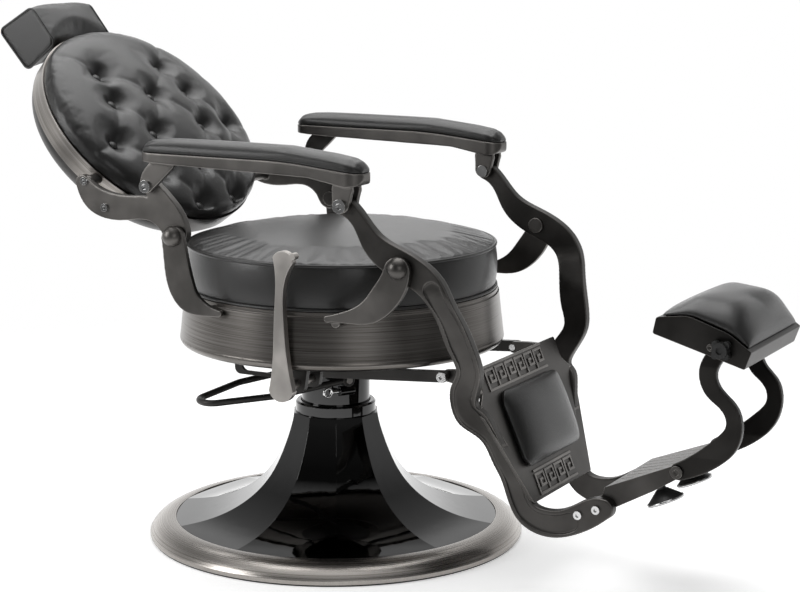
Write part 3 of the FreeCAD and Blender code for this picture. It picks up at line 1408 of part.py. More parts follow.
def check(item):
    """Stop if a piece, or what it was made from, did not come out whole."""
    shape = item.Shape
    if shape.isNull() or not shape.isValid() or not shape.Solids:
        raise RuntimeError(item.Label + " is not a valid solid")


build_chair()
doc.recompute()
for item in doc.Objects:
    if "Invalid" in item.State or "Error" in item.State:
        raise RuntimeError(item.Label + " failed: " + str(item.State))
for item in nodes:
    check(item)
for item in nodes:
    item.Shape.exportStep("parts/" + item.Label + ".step")
print(len(nodes), "pieces written")
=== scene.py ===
# %% [markdown]
# # A hydraulic barber chair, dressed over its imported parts
#
# The chair comes in as a frame of solid parts that already have their right
# places and sizes. This lesson gives every part its real finish. Plates, screws
# and turned parts stay as they are. The leather and the castings are built anew,
# because a plain solid looks too hard for them. It begins with an empty scene,
# because a stray lamp or cube would end up in the picture.

# %% Open the frame
import json
import math
from contextlib import contextmanager

import bmesh
import bpy
from mathutils import Matrix, Vector

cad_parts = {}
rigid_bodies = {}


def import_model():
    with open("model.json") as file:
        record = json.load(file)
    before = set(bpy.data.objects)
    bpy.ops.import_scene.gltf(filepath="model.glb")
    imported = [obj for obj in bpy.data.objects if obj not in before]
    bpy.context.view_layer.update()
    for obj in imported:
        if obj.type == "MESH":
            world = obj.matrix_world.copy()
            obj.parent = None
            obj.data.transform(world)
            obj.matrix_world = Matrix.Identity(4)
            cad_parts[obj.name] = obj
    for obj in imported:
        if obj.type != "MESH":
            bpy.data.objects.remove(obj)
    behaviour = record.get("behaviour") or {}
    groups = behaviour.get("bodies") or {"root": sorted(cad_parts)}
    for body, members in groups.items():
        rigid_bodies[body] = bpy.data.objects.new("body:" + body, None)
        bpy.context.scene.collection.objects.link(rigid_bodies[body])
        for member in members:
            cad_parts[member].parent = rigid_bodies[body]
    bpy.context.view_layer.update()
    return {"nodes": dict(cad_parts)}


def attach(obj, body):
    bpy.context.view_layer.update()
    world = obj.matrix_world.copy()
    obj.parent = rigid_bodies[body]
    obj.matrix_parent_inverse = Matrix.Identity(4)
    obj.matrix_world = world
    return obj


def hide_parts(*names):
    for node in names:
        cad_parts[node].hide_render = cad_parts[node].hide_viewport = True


for item in list(bpy.data.objects):
    bpy.data.objects.remove(item)
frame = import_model()
nodes = frame["nodes"]

# %% [markdown]
# Much of the chair leans. The backrest, the calf plate and the step each have a
# frame of their own: x to the sitter's left, y up the panel and z out of its
# face. A piece is modelled flat on the floor in that frame, where its shape is
# easy to think about, and its mesh is moved into place at the end. The numbers
# are the ones that the solid parts were drawn with, in metres.

# %% Where the leaning pieces stand
def leaning(forward, up, tilt):
    """The frame of a panel that is tilted back from level."""
    return Matrix.Translation((0, forward, up)) @ Matrix.Rotation(math.radians(tilt), 4, "X")


BACK_FORWARD, BACK_UP, BACK_TILT = 0.400, 0.737, 47
BACK = leaning(BACK_FORWARD, BACK_UP, BACK_TILT)
CALF = leaning(-0.371, 0.380, 67.7)
STEP = leaning(-0.589, 0.184, -22.3)
SEAT_CENTRE = Vector((0, -0.015, 0.474))
BACK_HALF = (0.262, 0.228)
BACK_LIFT = 0.011
print("back at", tuple(round(v, 3) for v in BACK.translation))

# %% [markdown]
# An operator acts on everything that is selected, so each step first leaves one
# object selected and nothing else. Edit mode is opened and closed by a small
# context manager, which also hands over the mesh so that faces and edges can be
# picked in code by where they lie.

# %% Selecting and editing
def only(item):
    bpy.ops.object.select_all(action="DESELECT")
    item.select_set(True)
    bpy.context.view_layer.objects.active = item
    return item


@contextmanager
def editing(item, kind="FACE"):
    only(item)
    bpy.ops.object.mode_set(mode="EDIT")
    bpy.ops.mesh.select_mode(type=kind)
    bpy.ops.mesh.select_all(action="DESELECT")
    mesh = bmesh.from_edit_mesh(item.data)
    yield mesh
    bpy.ops.object.mode_set(mode="OBJECT")


def pick(mesh, wanted, what="edges"):
    """Select the edges or faces that a test on their middle and direction accepts."""
    for part in getattr(mesh, what):
        if what == "edges":
            middle = (part.verts[0].co + part.verts[1].co) / 2
            way = (part.verts[1].co - part.verts[0].co).normalized()
        else:
            middle, way = part.calc_center_median(), part.normal
        if wanted(middle, way):
            part.select_set(True)
    mesh.select_flush_mode()


def settle(item, name, place=Matrix()):
    """Name a piece and put its place into its mesh."""
    only(item)
    bpy.ops.object.transform_apply(location=True, rotation=True, scale=True)
    item.data.transform(place)
    item.name = item.data.name = name
    return item


def apply_all(item):
    only(item)
    for modifier in list(item.modifiers):
        bpy.ops.object.modifier_apply(modifier=modifier.name)
    return item

# %% [markdown]
# ## Finishes
#
# Shader maths reads badly as a list of nodes, so one class wraps a socket and
# lets an expression add the nodes. A finish is one material: its fixed values
# are set on the shader's own sockets, and only colour, roughness and the normal
# change over the surface.

# %% Sockets as expressions
class Wire:
    def __init__(self, finish, socket):
        self.finish, self.socket = finish, socket

    def math(self, operation, other=0.0, reflected=False):
        first, second = (other, self) if reflected else (self, other)
        return self.finish.node("Math", {"operation": operation}, {0: first, 1: second})

    def __add__(self, other):
        return self.math("ADD", other)

    __radd__ = __add__

    def __sub__(self, other):
        return self.math("SUBTRACT", other)

    def __rsub__(self, other):
        return self.math("SUBTRACT", other, True)

    def __mul__(self, other):
        return self.math("MULTIPLY", other)

    __rmul__ = __mul__

    def ramp(self, low, high):
        """0 at low and 1 at high, smoothly, and never outside that."""
        return self.finish.node("MapRange", {"interpolation_type": "SMOOTHSTEP"},
                                {"Value": self, "From Min": low, "From Max": high})


class Finish:
    def __init__(self, name, **fixed):
        self.material = bpy.data.materials.new(name)
        self.material.use_nodes = True
        self.tree = self.material.node_tree
        self.shader = self.tree.nodes["Principled BSDF"]
        for label, value in fixed.items():
            spoken = label.replace("_", " ").title().replace("Ior", "IOR")
            self.shader.inputs[spoken].default_value = value
        plain_colour = self.shader.inputs["Base Color"].default_value
        self.material.diffuse_color = (*plain_colour[:3], 1)

    def node(self, kind, settings, sockets, output=0):
        made = self.tree.nodes.new("ShaderNode" + kind)
        for setting, value in settings.items():
            setattr(made, setting, value)
        for label, value in sockets.items():
            if isinstance(value, Wire):
                self.tree.links.new(value.socket, made.inputs[label])
            else:
                made.inputs[label].default_value = value
        return Wire(self, made.outputs[output])

    def place(self, scale=(1, 1, 1), turn=(0, 0, 0), move=(0, 0, 0)):
        """Object coordinates, moved and turned into a piece's own frame, then scaled."""
        here = self.node("TexCoord", {}, {}, "Object")
        if any(turn) or any(move):
            here = self.node("Mapping", {"vector_type": "TEXTURE"},
                             {"Vector": here, "Location": move, "Rotation": turn})
        return self.node("Mapping", {}, {"Vector": here, "Scale": scale})

    def noise(self, where, scale, detail=3, roughness=0.5):
        return self.node("TexNoise", {}, {"Vector": where, "Scale": scale, "Detail": detail,
                                          "Roughness": roughness})

    def mix(self, share, first, second):
        return self.node("Mix", {"data_type": "RGBA"}, {0: share, 6: first, 7: second}, 2)

    def bump(self, height, distance, strength=1.0, normal=None):
        sockets = {"Height": height, "Distance": distance, "Strength": strength}
        if normal:
            sockets["Normal"] = normal
        return self.node("Bump", {}, sockets)

    def rounding(self, radius):
        """The normal that the surface would have if its sharp edges were eased."""
        return self.node("Bevel", {"samples": 6}, {"Radius": radius})

    def edge_wear_and_highlight(self, radius, low=0.02, high=0.22):
        """1 along edges, where the eased normal differs from the real one."""
        true = self.node("NewGeometry", {}, {}, "True Normal")
        same = self.node("VectorMath", {"operation": "DOT_PRODUCT"},
                         {0: self.rounding(radius), 1: true}, "Value")
        return (1 - same).ramp(low, high)

    def bulge(self, low=0.515, high=0.60):
        """1 on the outer edges of a closely meshed casting, and 0 on its flat faces."""
        return self.node("NewGeometry", {}, {}, "Pointiness").ramp(low, high)

    def feed(self, **links):
        for label, wire in links.items():
            socket = self.shader.inputs[label.replace("_", " ").title()]
            self.tree.links.new(wire.socket, socket)
        return self


def grey(value, warmth=0.0):
    """A grey, a little redder than blue where it is warm."""
    return (value * (1 + warmth), value, value * (1 - warmth), 1)

# %% [markdown]
# Black leather is dark but never dull. Its grain is a field of small rounded
# cells, and a slow noise lets some places shine more than others, as where it
# is stretched. A picture of leather would need every cushion unwrapped. A
# Voronoi pattern needs only the place of each point. Its cells are about a
# millimetre and a half across, so they show close up, and from far away they
# only soften the shine.

# %% Leather
GRAIN_SCALE, GRAIN_DEPTH = 620.0, 0.00022


def leather(name, colour, roughness):
    made = Finish(name, base_color=grey(colour, 0.02), roughness=roughness,
                  specular_ior_level=0.5, coat_weight=0.2, coat_roughness=0.2)
    here = made.place()
    cells = made.node("TexVoronoi", {"feature": "DISTANCE_TO_EDGE"},
                      {"Vector": here, "Scale": GRAIN_SCALE})
    slow, fine = made.noise(here, 9.0, 2), made.noise(here, 260.0, 4)
    height = cells.ramp(0.0, 0.16) * 0.7 + fine * 0.5
    worn, dark = grey(colour * 1.3, 0.04), grey(colour * 0.85, 0.02)
    return made.feed(
        base_color=made.mix(slow.ramp(0.35, 0.7), dark, worn),
        roughness=slow * 0.10 + fine * 0.05 + (roughness - 0.07),
        normal=made.bump(height, GRAIN_DEPTH, 0.55))


finishes = {"leather": leather("black_leather", 0.012, 0.36)}
print("leather ready")

# %% [markdown]
# The metal is steel with a dark, warm finish that was brushed by hand. Brushing
# leaves fine lines that all run one way: around the drum of the seat, around the
# rim of the back, and round and round on the flat base. Anisotropic shading could
# stretch the highlights instead, but it needs a tangent on every part and shows
# no lines close up. Here the lines are a noise that is stretched along them, which
# is a very large scale across the lines and a small one along them. On the base
# the noise reads the distance from the axis alone. The lines change the roughness,
# the bump and, only a little, the colour. The low edge of the back's rim, which
# faces the seat, is painted almost black below a set height: painted shade,
# standing in for the dark that it mirrors there.

# %% Brushed metal
BRUSH_LINES, RING_LINES = (3, 3, 700), 600.0
NO_PAINTED_SHADE = -1.0


def brushed(name, colour, roughness, turn=(0, 0, 0), move=(0, 0, 0), ring=False,
            painted_shade_below=NO_PAINTED_SHADE):
    made = Finish(name, base_color=grey(colour, 0.06), metallic=1.0, roughness=roughness)
    if ring:
        flat = made.node("VectorMath", {"operation": "MULTIPLY"},
                         {0: made.place(), 1: (1, 1, 0)})
        away = made.node("VectorMath", {"operation": "LENGTH"}, {0: flat}, "Value")
        here = made.node("CombineXYZ", {}, {"X": away * RING_LINES, "Y": 0.0, "Z": 0.0})
    else:
        here = made.place(BRUSH_LINES, turn, move)
    lines = made.noise(here, 1.0, 4, 0.7)
    cloud = made.noise(made.place(), 5.0, 2)
    tone = made.mix(lines.ramp(0.25, 0.75), grey(colour * 0.55, 0.10), grey(colour * 1.5, 0.05))
    # Painted shade: below a set height the colour turns almost black.
    height = made.node("SeparateXYZ", {}, {"Vector": made.place()}, "Z")
    tone = made.mix(height.ramp(painted_shade_below - 0.06, painted_shade_below + 0.02), grey(colour * 0.1), tone)
    return made.feed(
        base_color=made.mix(cloud.ramp(0.3, 0.75) * 0.35, tone, grey(colour * 0.6, 0.08)),
        roughness=lines * 0.22 + (roughness - 0.11),
        normal=made.bump(lines, 0.00012, 0.35, made.rounding(0.0012)))


finishes |= {
    "brushed_gunmetal": brushed("brushed_drum", 0.165, 0.31),
    "brushed_back": brushed("brushed_back", 0.28, 0.36, (math.radians(BACK_TILT), 0, 0),
                            (0, BACK_FORWARD, BACK_UP), painted_shade_below=0.64),
    "satin_grey": brushed("satin_base", 0.36, 0.27, ring=True),
}
print("brushed metals ready")

# %% [markdown]
# The cast frame has the same dark finish, but hands and cloths have rubbed it
# bright along the edges. The lighter edges are also a painted highlight, standing
# in for the light that the edges catch. Where an edge is sharp, a Bevel node
# compares the real normal with that of an eased edge, and where the two differ
# there is an edge. On a casting with rounded edges, Pointiness says how far the
# surface bulges at each point. Either mask mixes a lighter metal in: partly rubbed
# wear and partly painted highlight.

# %% Cast metal with rubbed edges and painted edge highlights
def cast(name, colour, roughness, edge, radius=0.0022, metallic=1.0, warmth=0.05, eased=False):
    made = Finish(name, base_color=grey(colour, warmth), metallic=metallic, roughness=roughness)
    here = made.place()
    cloud, fine = made.noise(here, 11.0, 3), made.noise(here, 420.0, 3)
    # The edge mask lightens the colour: partly rubbed wear, partly painted highlight.
    edges = made.bulge() if eased else made.edge_wear_and_highlight(radius)
    tone = made.mix(cloud.ramp(0.3, 0.72), grey(colour * 0.78, warmth), grey(colour * 1.3, warmth))
    rounded = None if eased else made.rounding(radius)
    return made.feed(
        base_color=made.mix(edges * (cloud * 0.9 + 0.35), tone, grey(edge, warmth)),
        roughness=cloud * 0.14 + fine * 0.06 + (roughness - 0.10),
        normal=made.bump(fine, 0.00016, 0.5, rounded))


finishes |= {
    "gunmetal": cast("frame_gunmetal", 0.12, 0.40, 0.45),
    "gunmetal_cast": cast("frame_castings", 0.12, 0.40, 0.42, eased=True),
    "antique_metal": cast("antique_plate", 0.075, 0.38, 0.34),
    "antique_cast": cast("leg_castings", 0.060, 0.38, 0.34, eased=True),
    "black_cast": cast("foot_castings", 0.020, 0.36, 0.16, eased=True),
    "black_tray": cast("foot_tray", 0.035, 0.36, 0.22),
    # The lever's lighter grey is partly its own satin finish and partly painted highlight.
    "satin_lever_and_highlight": cast("satin_lever_and_highlight", 0.42, 0.42, 0.60),
    "cast_black": cast("cast_black", 0.030, 0.42, 0.10, 0.0015, 0.6),
    "worn_silver": cast("worn_silver", 0.17, 0.34, 0.45, 0.0009),
    "machined_steel": cast("machined_steel", 0.45, 0.28, 0.60, 0.0008),
    "chrome": cast("chrome", 0.62, 0.10, 0.75, 0.0006, warmth=0.0),
    "brass": cast("gland_brass", 0.30, 0.30, 0.50, 0.0008, warmth=0.35),
}
print(len(finishes), "finishes so far")

# %% [markdown]
# The bell is steel under a clear black chrome. It is a mirror, and a mirror shows
# its surroundings, so most of its look is made later by the studio. Rubber,
# plastic and the plywood inside are plain, with a little unevenness so that none
# of them is one flat colour.

# %% Black chrome, rubber, plastic and plywood
def glossy(name, colour, roughness):
    made = Finish(name, base_color=grey(colour), metallic=1.0, roughness=roughness,
                  coat_weight=0.25, coat_roughness=0.03)
    cloud = made.noise(made.place(), 6.0, 2)
    return made.feed(base_color=made.mix(cloud, grey(colour * 0.85), grey(colour * 1.15)),
                     roughness=cloud * 0.03 + (roughness - 0.015),
                     normal=made.rounding(0.0012))


def plain(name, colour, roughness, warmth=0.0, scale=300.0, stretch=(1, 1, 1)):
    made = Finish(name, base_color=grey(colour, warmth), roughness=roughness)
    spots = made.noise(made.place(stretch), scale, 4)
    dark, light = grey(colour * 0.8, warmth), grey(colour * 1.25, warmth)
    return made.feed(
        base_color=made.mix(spots.ramp(0.3, 0.7), dark, light),
        roughness=spots * 0.2 + (roughness - 0.1), normal=made.bump(spots, 0.0001, 0.4))


finishes |= {
    "bell_black": glossy("black_chrome", 0.045, 0.05),
    "rubber": plain("black_rubber", 0.012, 0.75),
    "black_plastic": plain("black_plastic", 0.016, 0.42),
    "plywood": plain("birch_plywood", 0.34, 0.6, 0.35, 14.0, (1, 12, 40)),
}
OWN_FINISH = {"back_band": "brushed_back", "back_cover": "cast_black", "pump_head": "bell_black",
              "foot_tray": "black_tray", "recline_lever": "satin_lever_and_highlight"}
for name, node in nodes.items():
    slot = node.data.materials[0].name.split(".")[0]
    node.material_slots[0].material = finishes[OWN_FINISH.get(name, slot)].material
print(len(finishes), "finishes on", len(nodes), "parts")

# %% [markdown]
# One helper gives a new piece its finish, ties it to the body it moves with, and
# hides the solid parts that it stands for. It also smooths the shading wherever
# two faces meet at less than a set angle.

# %% Handing a piece over
def hand_over(item, body, slot, *stands_for, finish=None, angle=35):
    item.data.materials.clear()
    item.data.materials.append(finishes[finish or slot].material)
    only(item)
    bpy.ops.object.shade_smooth_by_angle(angle=math.radians(angle))
    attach(item, body)
    if stands_for:
        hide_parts(*stands_for)
    print(f"{item.name}: {len(item.data.polygons)} faces on {body}")
    return item

# %% [markdown]
# ## Castings
#
# The frame pieces are sand castings: every inner corner has a fillet and every
# outer one is eased. A solid made of plates has neither. A copy of it is merged,
# remeshed to an even skin of small squares, and smoothed a few times. That melts
# the plates into one another, which no bevel does at an inner corner.

# %% Castings from solids
def copy_of(name):
    item = nodes[name].copy()
    item.data = nodes[name].data.copy()
    for key in list(item.keys()):
        del item[key]
    item.parent = None
    item.hide_render = item.hide_viewport = False
    bpy.context.scene.collection.objects.link(item)
    with editing(item, "VERT"):
        bpy.ops.mesh.select_all(action="SELECT")
        bpy.ops.mesh.remove_doubles(threshold=0.00001)
    only(item)
    bpy.ops.mesh.customdata_custom_splitnormals_clear()
    return item


def melted(name, voxel=0.0018, passes=5):
    item = only(copy_of(name))
    item.data.remesh_voxel_size = voxel
    bpy.ops.object.voxel_remesh()
    smooth = item.modifiers.new("smooth", "SMOOTH")
    smooth.factor, smooth.iterations = 0.5, passes
    return settle(apply_all(item), "cast_" + name)


def mirror_of(item, name):
    """The same piece for the other side, with its faces turned right way out."""
    other = item.copy()
    other.data = item.data.copy()
    bpy.context.scene.collection.objects.link(other)
    other.data.transform(Matrix.Scale(-1, 4, (1, 0, 0)))
    other.data.flip_normals()
    return settle(other, name)


CASTINGS = (("arm_frame", "arm", "gunmetal"), ("leg", "leg_frame", "antique_metal"),
            ("rear_upright", "seat", "gunmetal"), ("front_upright", "seat", "gunmetal"),
            ("back_bracket", "back", "gunmetal"), ("foot_arm", "foot_arms", "antique_metal"))
CAST_FINISH = {"gunmetal": "gunmetal_cast", "antique_metal": "antique_cast"}
DARK_CASTINGS = ("foot_arm",)
for part, body, slot in CASTINGS:
    right = melted(part + "_right")
    left = mirror_of(right, f"cast_{part}_left")
    for item, side in ((right, "_right"), (left, "_left")):
        rides = body + side if body == "arm" else body
        finish = "black_cast" if part in DARK_CASTINGS else CAST_FINISH[slot]
        hand_over(item, rides, slot, part + side, finish=finish, angle=60)

# %% [markdown]
# Each of the two glides under the step has a bright rim. It could be a second
# finish on the glide's own edge, but the solid has no faces of its own there. A
# thin ring laid around the widest part is simpler, and stays truly round.

# %% Glide rims
def ring(name, radius, thickness, centre, around=160, section=10):
    bpy.ops.object.select_all(action="DESELECT")
    bpy.ops.mesh.primitive_torus_add(major_radius=radius, minor_radius=thickness, location=centre,
                                     major_segments=around, minor_segments=section)
    return settle(bpy.context.object, name)


GLIDE_SPOT = (0.070, -0.0847, -0.0525)
GLIDE_RADIUS, RIM_THICKNESS = 0.0305, 0.0026
for side, way in (("right", -1), ("left", 1)):
    rim = ring("glide_rim_" + side, GLIDE_RADIUS, RIM_THICKNESS,
               (way * GLIDE_SPOT[0], *GLIDE_SPOT[1:]), 64)
    settle(rim, rim.name, STEP)
    hand_over(rim, "leg_frame", "chrome", angle=60)

# %% [markdown]
# ## Leather
#
# A cushion is foam that presses its cover out from inside. It could be sculpted,
# but cloth simulation does just what the foam does: the seams are held, and
# pressure swells the rest of the cover, which may be cut a little slack. How far
# any point may move is capped, so that the cushion stays in the room it has.

# %% Swelling a cover
def evened(item, voxel):
    only(item)
    item.data.remesh_voxel_size = voxel
    bpy.ops.object.voxel_remesh()
    return item


def swell(item, pressure, cap, held, slack=0.0, frames=20):
    """Press a cover out from inside, with the vertices that held accepts kept still."""
    seams = item.vertex_groups.new(name="held")
    seams.add([v.index for v in item.data.vertices if held(v)], 1.0, "REPLACE")
    only(item)
    cloth = item.modifiers.new("swell", "CLOTH")
    settings = cloth.settings
    settings.quality = 5
    settings.mass = 0.2
    settings.tension_stiffness = settings.compression_stiffness = 12
    settings.shear_stiffness = 6
    settings.bending_stiffness = 0.4
    settings.use_pressure = True
    settings.uniform_pressure_force = pressure
    settings.shrink_min = -slack
    settings.vertex_group_mass = "held"
    settings.effector_weights.gravity = 0
    cloth.collision_settings.use_collision = False
    start = [v.co.copy() for v in item.data.vertices]
    for number in range(1, frames + 1):
        bpy.context.scene.frame_set(number)
    bpy.ops.object.modifier_apply(modifier=cloth.name)
    bpy.context.scene.frame_set(1)
    furthest = 0
    for vertex, first in zip(item.data.vertices, start):
        move = vertex.co - first
        furthest = max(furthest, move.length)
        if move.length > cap:
            vertex.co = first + move.normalized() * cap
    item.vertex_groups.clear()
    print(f"{item.name} swelled {furthest * 1000:.1f} mm, capped at {cap * 1000:.0f}")
    return item


def refined(item, levels=1, passes=2):
    smooth = item.modifiers.new("smooth", "SMOOTH")
    smooth.factor, smooth.iterations = 0.5, passes
    finer = item.modifiers.new("finer", "SUBSURF")
    finer.levels = finer.render_levels = levels
    return apply_all(item)

# %% [markdown]
# Most cushions start as a copy of their solid, which already has the right
# outline and crown. The copy is merged and remeshed to an even skin, because
# cloth needs faces of one size. Some of its vertices are held: those of its seams
# and those that lie on the board below. The rest swells, and a smooth pass and a
# subdivision then take out the marks of the remesh.
#
# The seat is a thick round cushion. Its top seam and its foot are held. A welt,
# which is a cord sewn into a seam, is a thin ring: one lies in the top seam. A
# second dark ring between the cushion and the drum is painted shade: a dark cord
# that fills the shaded gap there.

# %% Seat cushion
def cushion(source, name, voxel, pressure, cap, held, slack=0.0, passes=2, shape=None):
    item = settle(evened(copy_of(source), voxel), name)
    if shape:
        for vertex in item.data.vertices:
            shape(vertex)
    swell(item, pressure, cap, held, slack)
    return refined(item, passes=passes)


def padded_piece(item, body, source):
    hand_over(item, body, "leather", source, angle=60)


SEAM_RISE, SEAT_RADIUS = 0.080, 0.283


def seat_held(vertex):
    away = vertex.co - SEAT_CENTRE
    at_seam = abs(away.z - SEAM_RISE) < 0.003 and away.xy.length > SEAT_RADIUS - 0.006
    return away.z < 0.006 or at_seam


seat = cushion("seat_cushion", "seat_leather", 0.0050, 3.0, 0.008, seat_held)
padded_piece(seat, "seat", "seat_cushion")
SEAT_CORD, FOOT_RISE = 0.003, 0.003
# The foot ring is painted shade: a dark leather cord in the gap between cushion and drum.
for name, beyond, rise in (("seat_welt", 0.0005, SEAM_RISE), ("seat_gap_shade_welt", 0.0015, FOOT_RISE)):
    welt = ring(name, SEAT_RADIUS + beyond, SEAT_CORD, SEAT_CENTRE + Vector((0, 0, rise)))
    hand_over(welt, "seat", "leather", angle=60)

# %% [markdown]
# The back is tufted: fourteen buttons are pulled through the foam, and the cover
# between them swells. Folds run from each button to its neighbours in the next
# row, and from the outer buttons to the rim. The simulation alone would put the
# folds anywhere, so they are laid first. The cushion starts as an oval block whose
# top is crowned and drawn in at the buttons and folds, point by point. In the
# simulation these and the outer seam are held, and the pillows between them rise.

# %% Buttoned back
BUTTON_ROWS = ((0.107, (-0.098, 0.098)), (0.040, (-0.119, 0, 0.119)),
               (-0.042, (-0.185, -0.070, 0.092, 0.185)), (-0.122, (-0.118, 0, 0.118)),
               (-0.200, (-0.056, 0.056)))
SHOULDER, CROWN = 0.030, 0.058
FOLD_REACH = 0.112
BUTTON_DEPTH, BUTTON_SPREAD = 0.024, 0.021
FOLD_DEPTH, FOLD_FADE, FOLD_SPREAD = 0.007, 0.028, 0.007
FAINT_FOLD = 0.002
RIM_SHARE, SEAM_CLEAR = 0.93, 0.003


def spread(point):
    """How far out a point of the back is, from 0 in the middle to 1 at its rim."""
    return math.hypot(point.x / BACK_HALF[0], (point.y - BACK_LIFT) / BACK_HALF[1])


def crown_over(point):
    return SHOULDER + (CROWN - SHOULDER) * max(0.0, 1 - (spread(point) / 0.97) ** 2.2)


def rim_beyond(spot):
    """The point of the rim that a fold runs out to from a button near it."""
    centre = Vector((0, BACK_LIFT))
    return centre + (spot - centre) * (RIM_SHARE / spread(spot))


def folds():
    """The pairs of points that creases run between: neighbouring rows, and out to the rim."""
    rows = [[Vector((across, rise + BACK_LIFT)) for across in spots] for rise, spots in BUTTON_ROWS]
    pairs = [(lower, upper) for row, above in zip(rows[1:], rows) for lower in row for upper in above
             if abs(lower.x - upper.x) < FOLD_REACH]
    return rows, pairs + [(spot, rim_beyond(spot)) for spot in sum(rows, []) if spread(spot) > 0.55]


ROWS, FOLDS = folds()
BUTTONS = sum(ROWS, [])


def nearest_button(point):
    return min((point.xy - spot).length for spot in BUTTONS)


def nearest_fold(point):
    """The distance to the nearest crease, measured to the line between its ends."""
    gaps = []
    for start, end in FOLDS:
        run = end - start
        share = (point.xy - start).dot(run) / run.length_squared
        gaps.append((point.xy - start - run * min(max(share, 0.0), 1.0)).length)
    return min(gaps)


def drawn_in(point):
    """How far the cover is pulled down: deep at a button, less along a fold that fades."""
    away = nearest_button(point)
    button = BUTTON_DEPTH * math.exp(-(away / BUTTON_SPREAD) ** 2)
    crease = FAINT_FOLD + FOLD_DEPTH * math.exp(-away / FOLD_FADE)
    fold = crease * math.exp(-nearest_fold(point) / FOLD_SPREAD)
    return max(button, fold) + 0.2 * min(button, fold)


bpy.ops.object.select_all(action="DESELECT")
bpy.ops.mesh.primitive_cylinder_add(vertices=160, radius=1, depth=1,
                                    location=(0, BACK_LIFT, SHOULDER / 2))
back = bpy.context.object
back.scale = (BACK_HALF[0] - SEAM_CLEAR, BACK_HALF[1] - SEAM_CLEAR, SHOULDER)
back = settle(back, "back_leather")
with editing(back, "EDGE") as mesh:
    pick(mesh, lambda middle, way: middle.z > SHOULDER - 0.001 and spread(middle) > 0.9)
    bpy.ops.mesh.bevel(offset=0.016, segments=4, affect="EDGES")
evened(back, 0.0044)
for vertex in back.data.vertices:
    if vertex.co.z > SHOULDER - 0.004:
        vertex.co.z += crown_over(vertex.co) - SHOULDER - drawn_in(vertex.co)


def back_held(vertex):
    if vertex.co.z < 0.020:
        return vertex.co.z < 0.010
    away = nearest_button(vertex.co)
    return away < 0.008 or (away < 0.030 and nearest_fold(vertex.co) < 0.0022)


swell(back, 3.5, 0.010, back_held, 0.006)
refined(back, passes=3)
settle(back, "back_leather", BACK)
hand_over(back, "back", "leather", "back_cushion", angle=80)

# %% [markdown]
# The buttons are covered with the same leather. One is modelled from a ball that
# is pressed flat, and then copied to each place, with its own mesh. They sink into
# the cover, so that only a low dome shows. They are joined into one piece, because
# they stand for one part.

# %% Buttons
def join(items, name):
    only(items[0])
    for item in items[1:]:
        item.select_set(True)
    bpy.ops.object.join()
    return settle(bpy.context.object, name)


def copies(item, places):
    """One copy of a piece, with its own mesh, at each place; the first is used up."""
    made = []
    for place in places:
        other = item.copy()
        other.data = item.data.copy()
        other.data.transform(place)
        bpy.context.scene.collection.objects.link(other)
        made.append(other)
    bpy.data.objects.remove(item)
    return made


BUTTON_RADIUS, BUTTON_FLATNESS, BUTTON_SINK = 0.0098, 0.52, 0.0205
bpy.ops.object.select_all(action="DESELECT")
bpy.ops.mesh.primitive_uv_sphere_add(segments=24, ring_count=14, radius=BUTTON_RADIUS)
button = bpy.context.object
button.scale.z = BUTTON_FLATNESS
button = settle(button, "button")
seats = [Matrix.Translation((spot.x, spot.y, crown_over(spot) - BUTTON_SINK)) for spot in BUTTONS]
buttons = join(copies(button, seats), "back_buttons")
settle(buttons, "back_buttons", BACK)
hand_over(buttons, "back", "leather", "tuft_buttons", angle=60)

# %% [markdown]
# The headrest is a box pillow. Its two side panels are held flat and the rest
# swells between them. A welt runs round each panel. It could be a tube bent by
# hand, but an outline whose corners are bevelled, turned into a curve and given a
# round section follows the panel exactly.

# %% Headrest
def corner_welt(name, corners, easing, thickness):
    """A cord sewn around an outline with rounded corners."""
    bpy.ops.object.select_all(action="DESELECT")
    bpy.ops.mesh.primitive_circle_add(vertices=len(corners), fill_type="NOTHING")
    item = bpy.context.object
    for vertex, corner in zip(item.data.vertices, corners):
        vertex.co = corner
    with editing(item, "VERT"):
        bpy.ops.mesh.select_all(action="SELECT")
        bpy.ops.mesh.bevel(offset=easing, segments=5, affect="VERTICES")
    only(item)
    bpy.ops.object.convert(target="CURVE")
    item.data.bevel_depth, item.data.bevel_resolution = thickness, 3
    bpy.ops.object.convert(target="MESH")
    return settle(item, name)


HEAD_HALF = 0.090
HEAD_SIDE = ((0.232, -0.001), (0.317, 0.006), (0.337, -0.085), (0.238, -0.088))
HEAD_CORNER, HEAD_CORD = 0.012, 0.0022
head = cushion("headrest_cushion", "headrest_leather", 0.0042, 5.0, 0.006,
               lambda vertex: abs(vertex.co.x) > HEAD_HALF - 0.003, 0.004)
padded_piece(head, "headrest", "headrest_cushion")
for side, across in (("right", -HEAD_HALF), ("left", HEAD_HALF)):
    outline = [(across, up, out) for up, out in HEAD_SIDE]
    seam = corner_welt("headrest_welt_" + side, outline, HEAD_CORNER, HEAD_CORD)
    settle(seam, seam.name, BACK)
    hand_over(seam, "headrest", "leather", angle=60)

# %% [markdown]
# The arm pads and the calf pad are nailed to their boards all round, so only their
# feet are held. One arm pad is made, and the other is its mirror image. The calf
# pad's solid has a flat face, so a formula first rounds it over like a pillow. The
# foot pad is a saddle over a curved tray. Its underside and its two ends are held,
# and the ends are found by how far they lie from the middle.

# %% Arm, calf and foot pads
ARM_PAD_FOOT = 0.740
pad = cushion("arm_pad_right", "arm_leather_right", 0.0036, 4.0, 0.004,
              lambda vertex: vertex.co.z < ARM_PAD_FOOT)
other_pad = mirror_of(pad, "arm_leather_left")
for item, side in ((pad, "right"), (other_pad, "left")):
    padded_piece(item, "arm_" + side, "arm_pad_" + side)

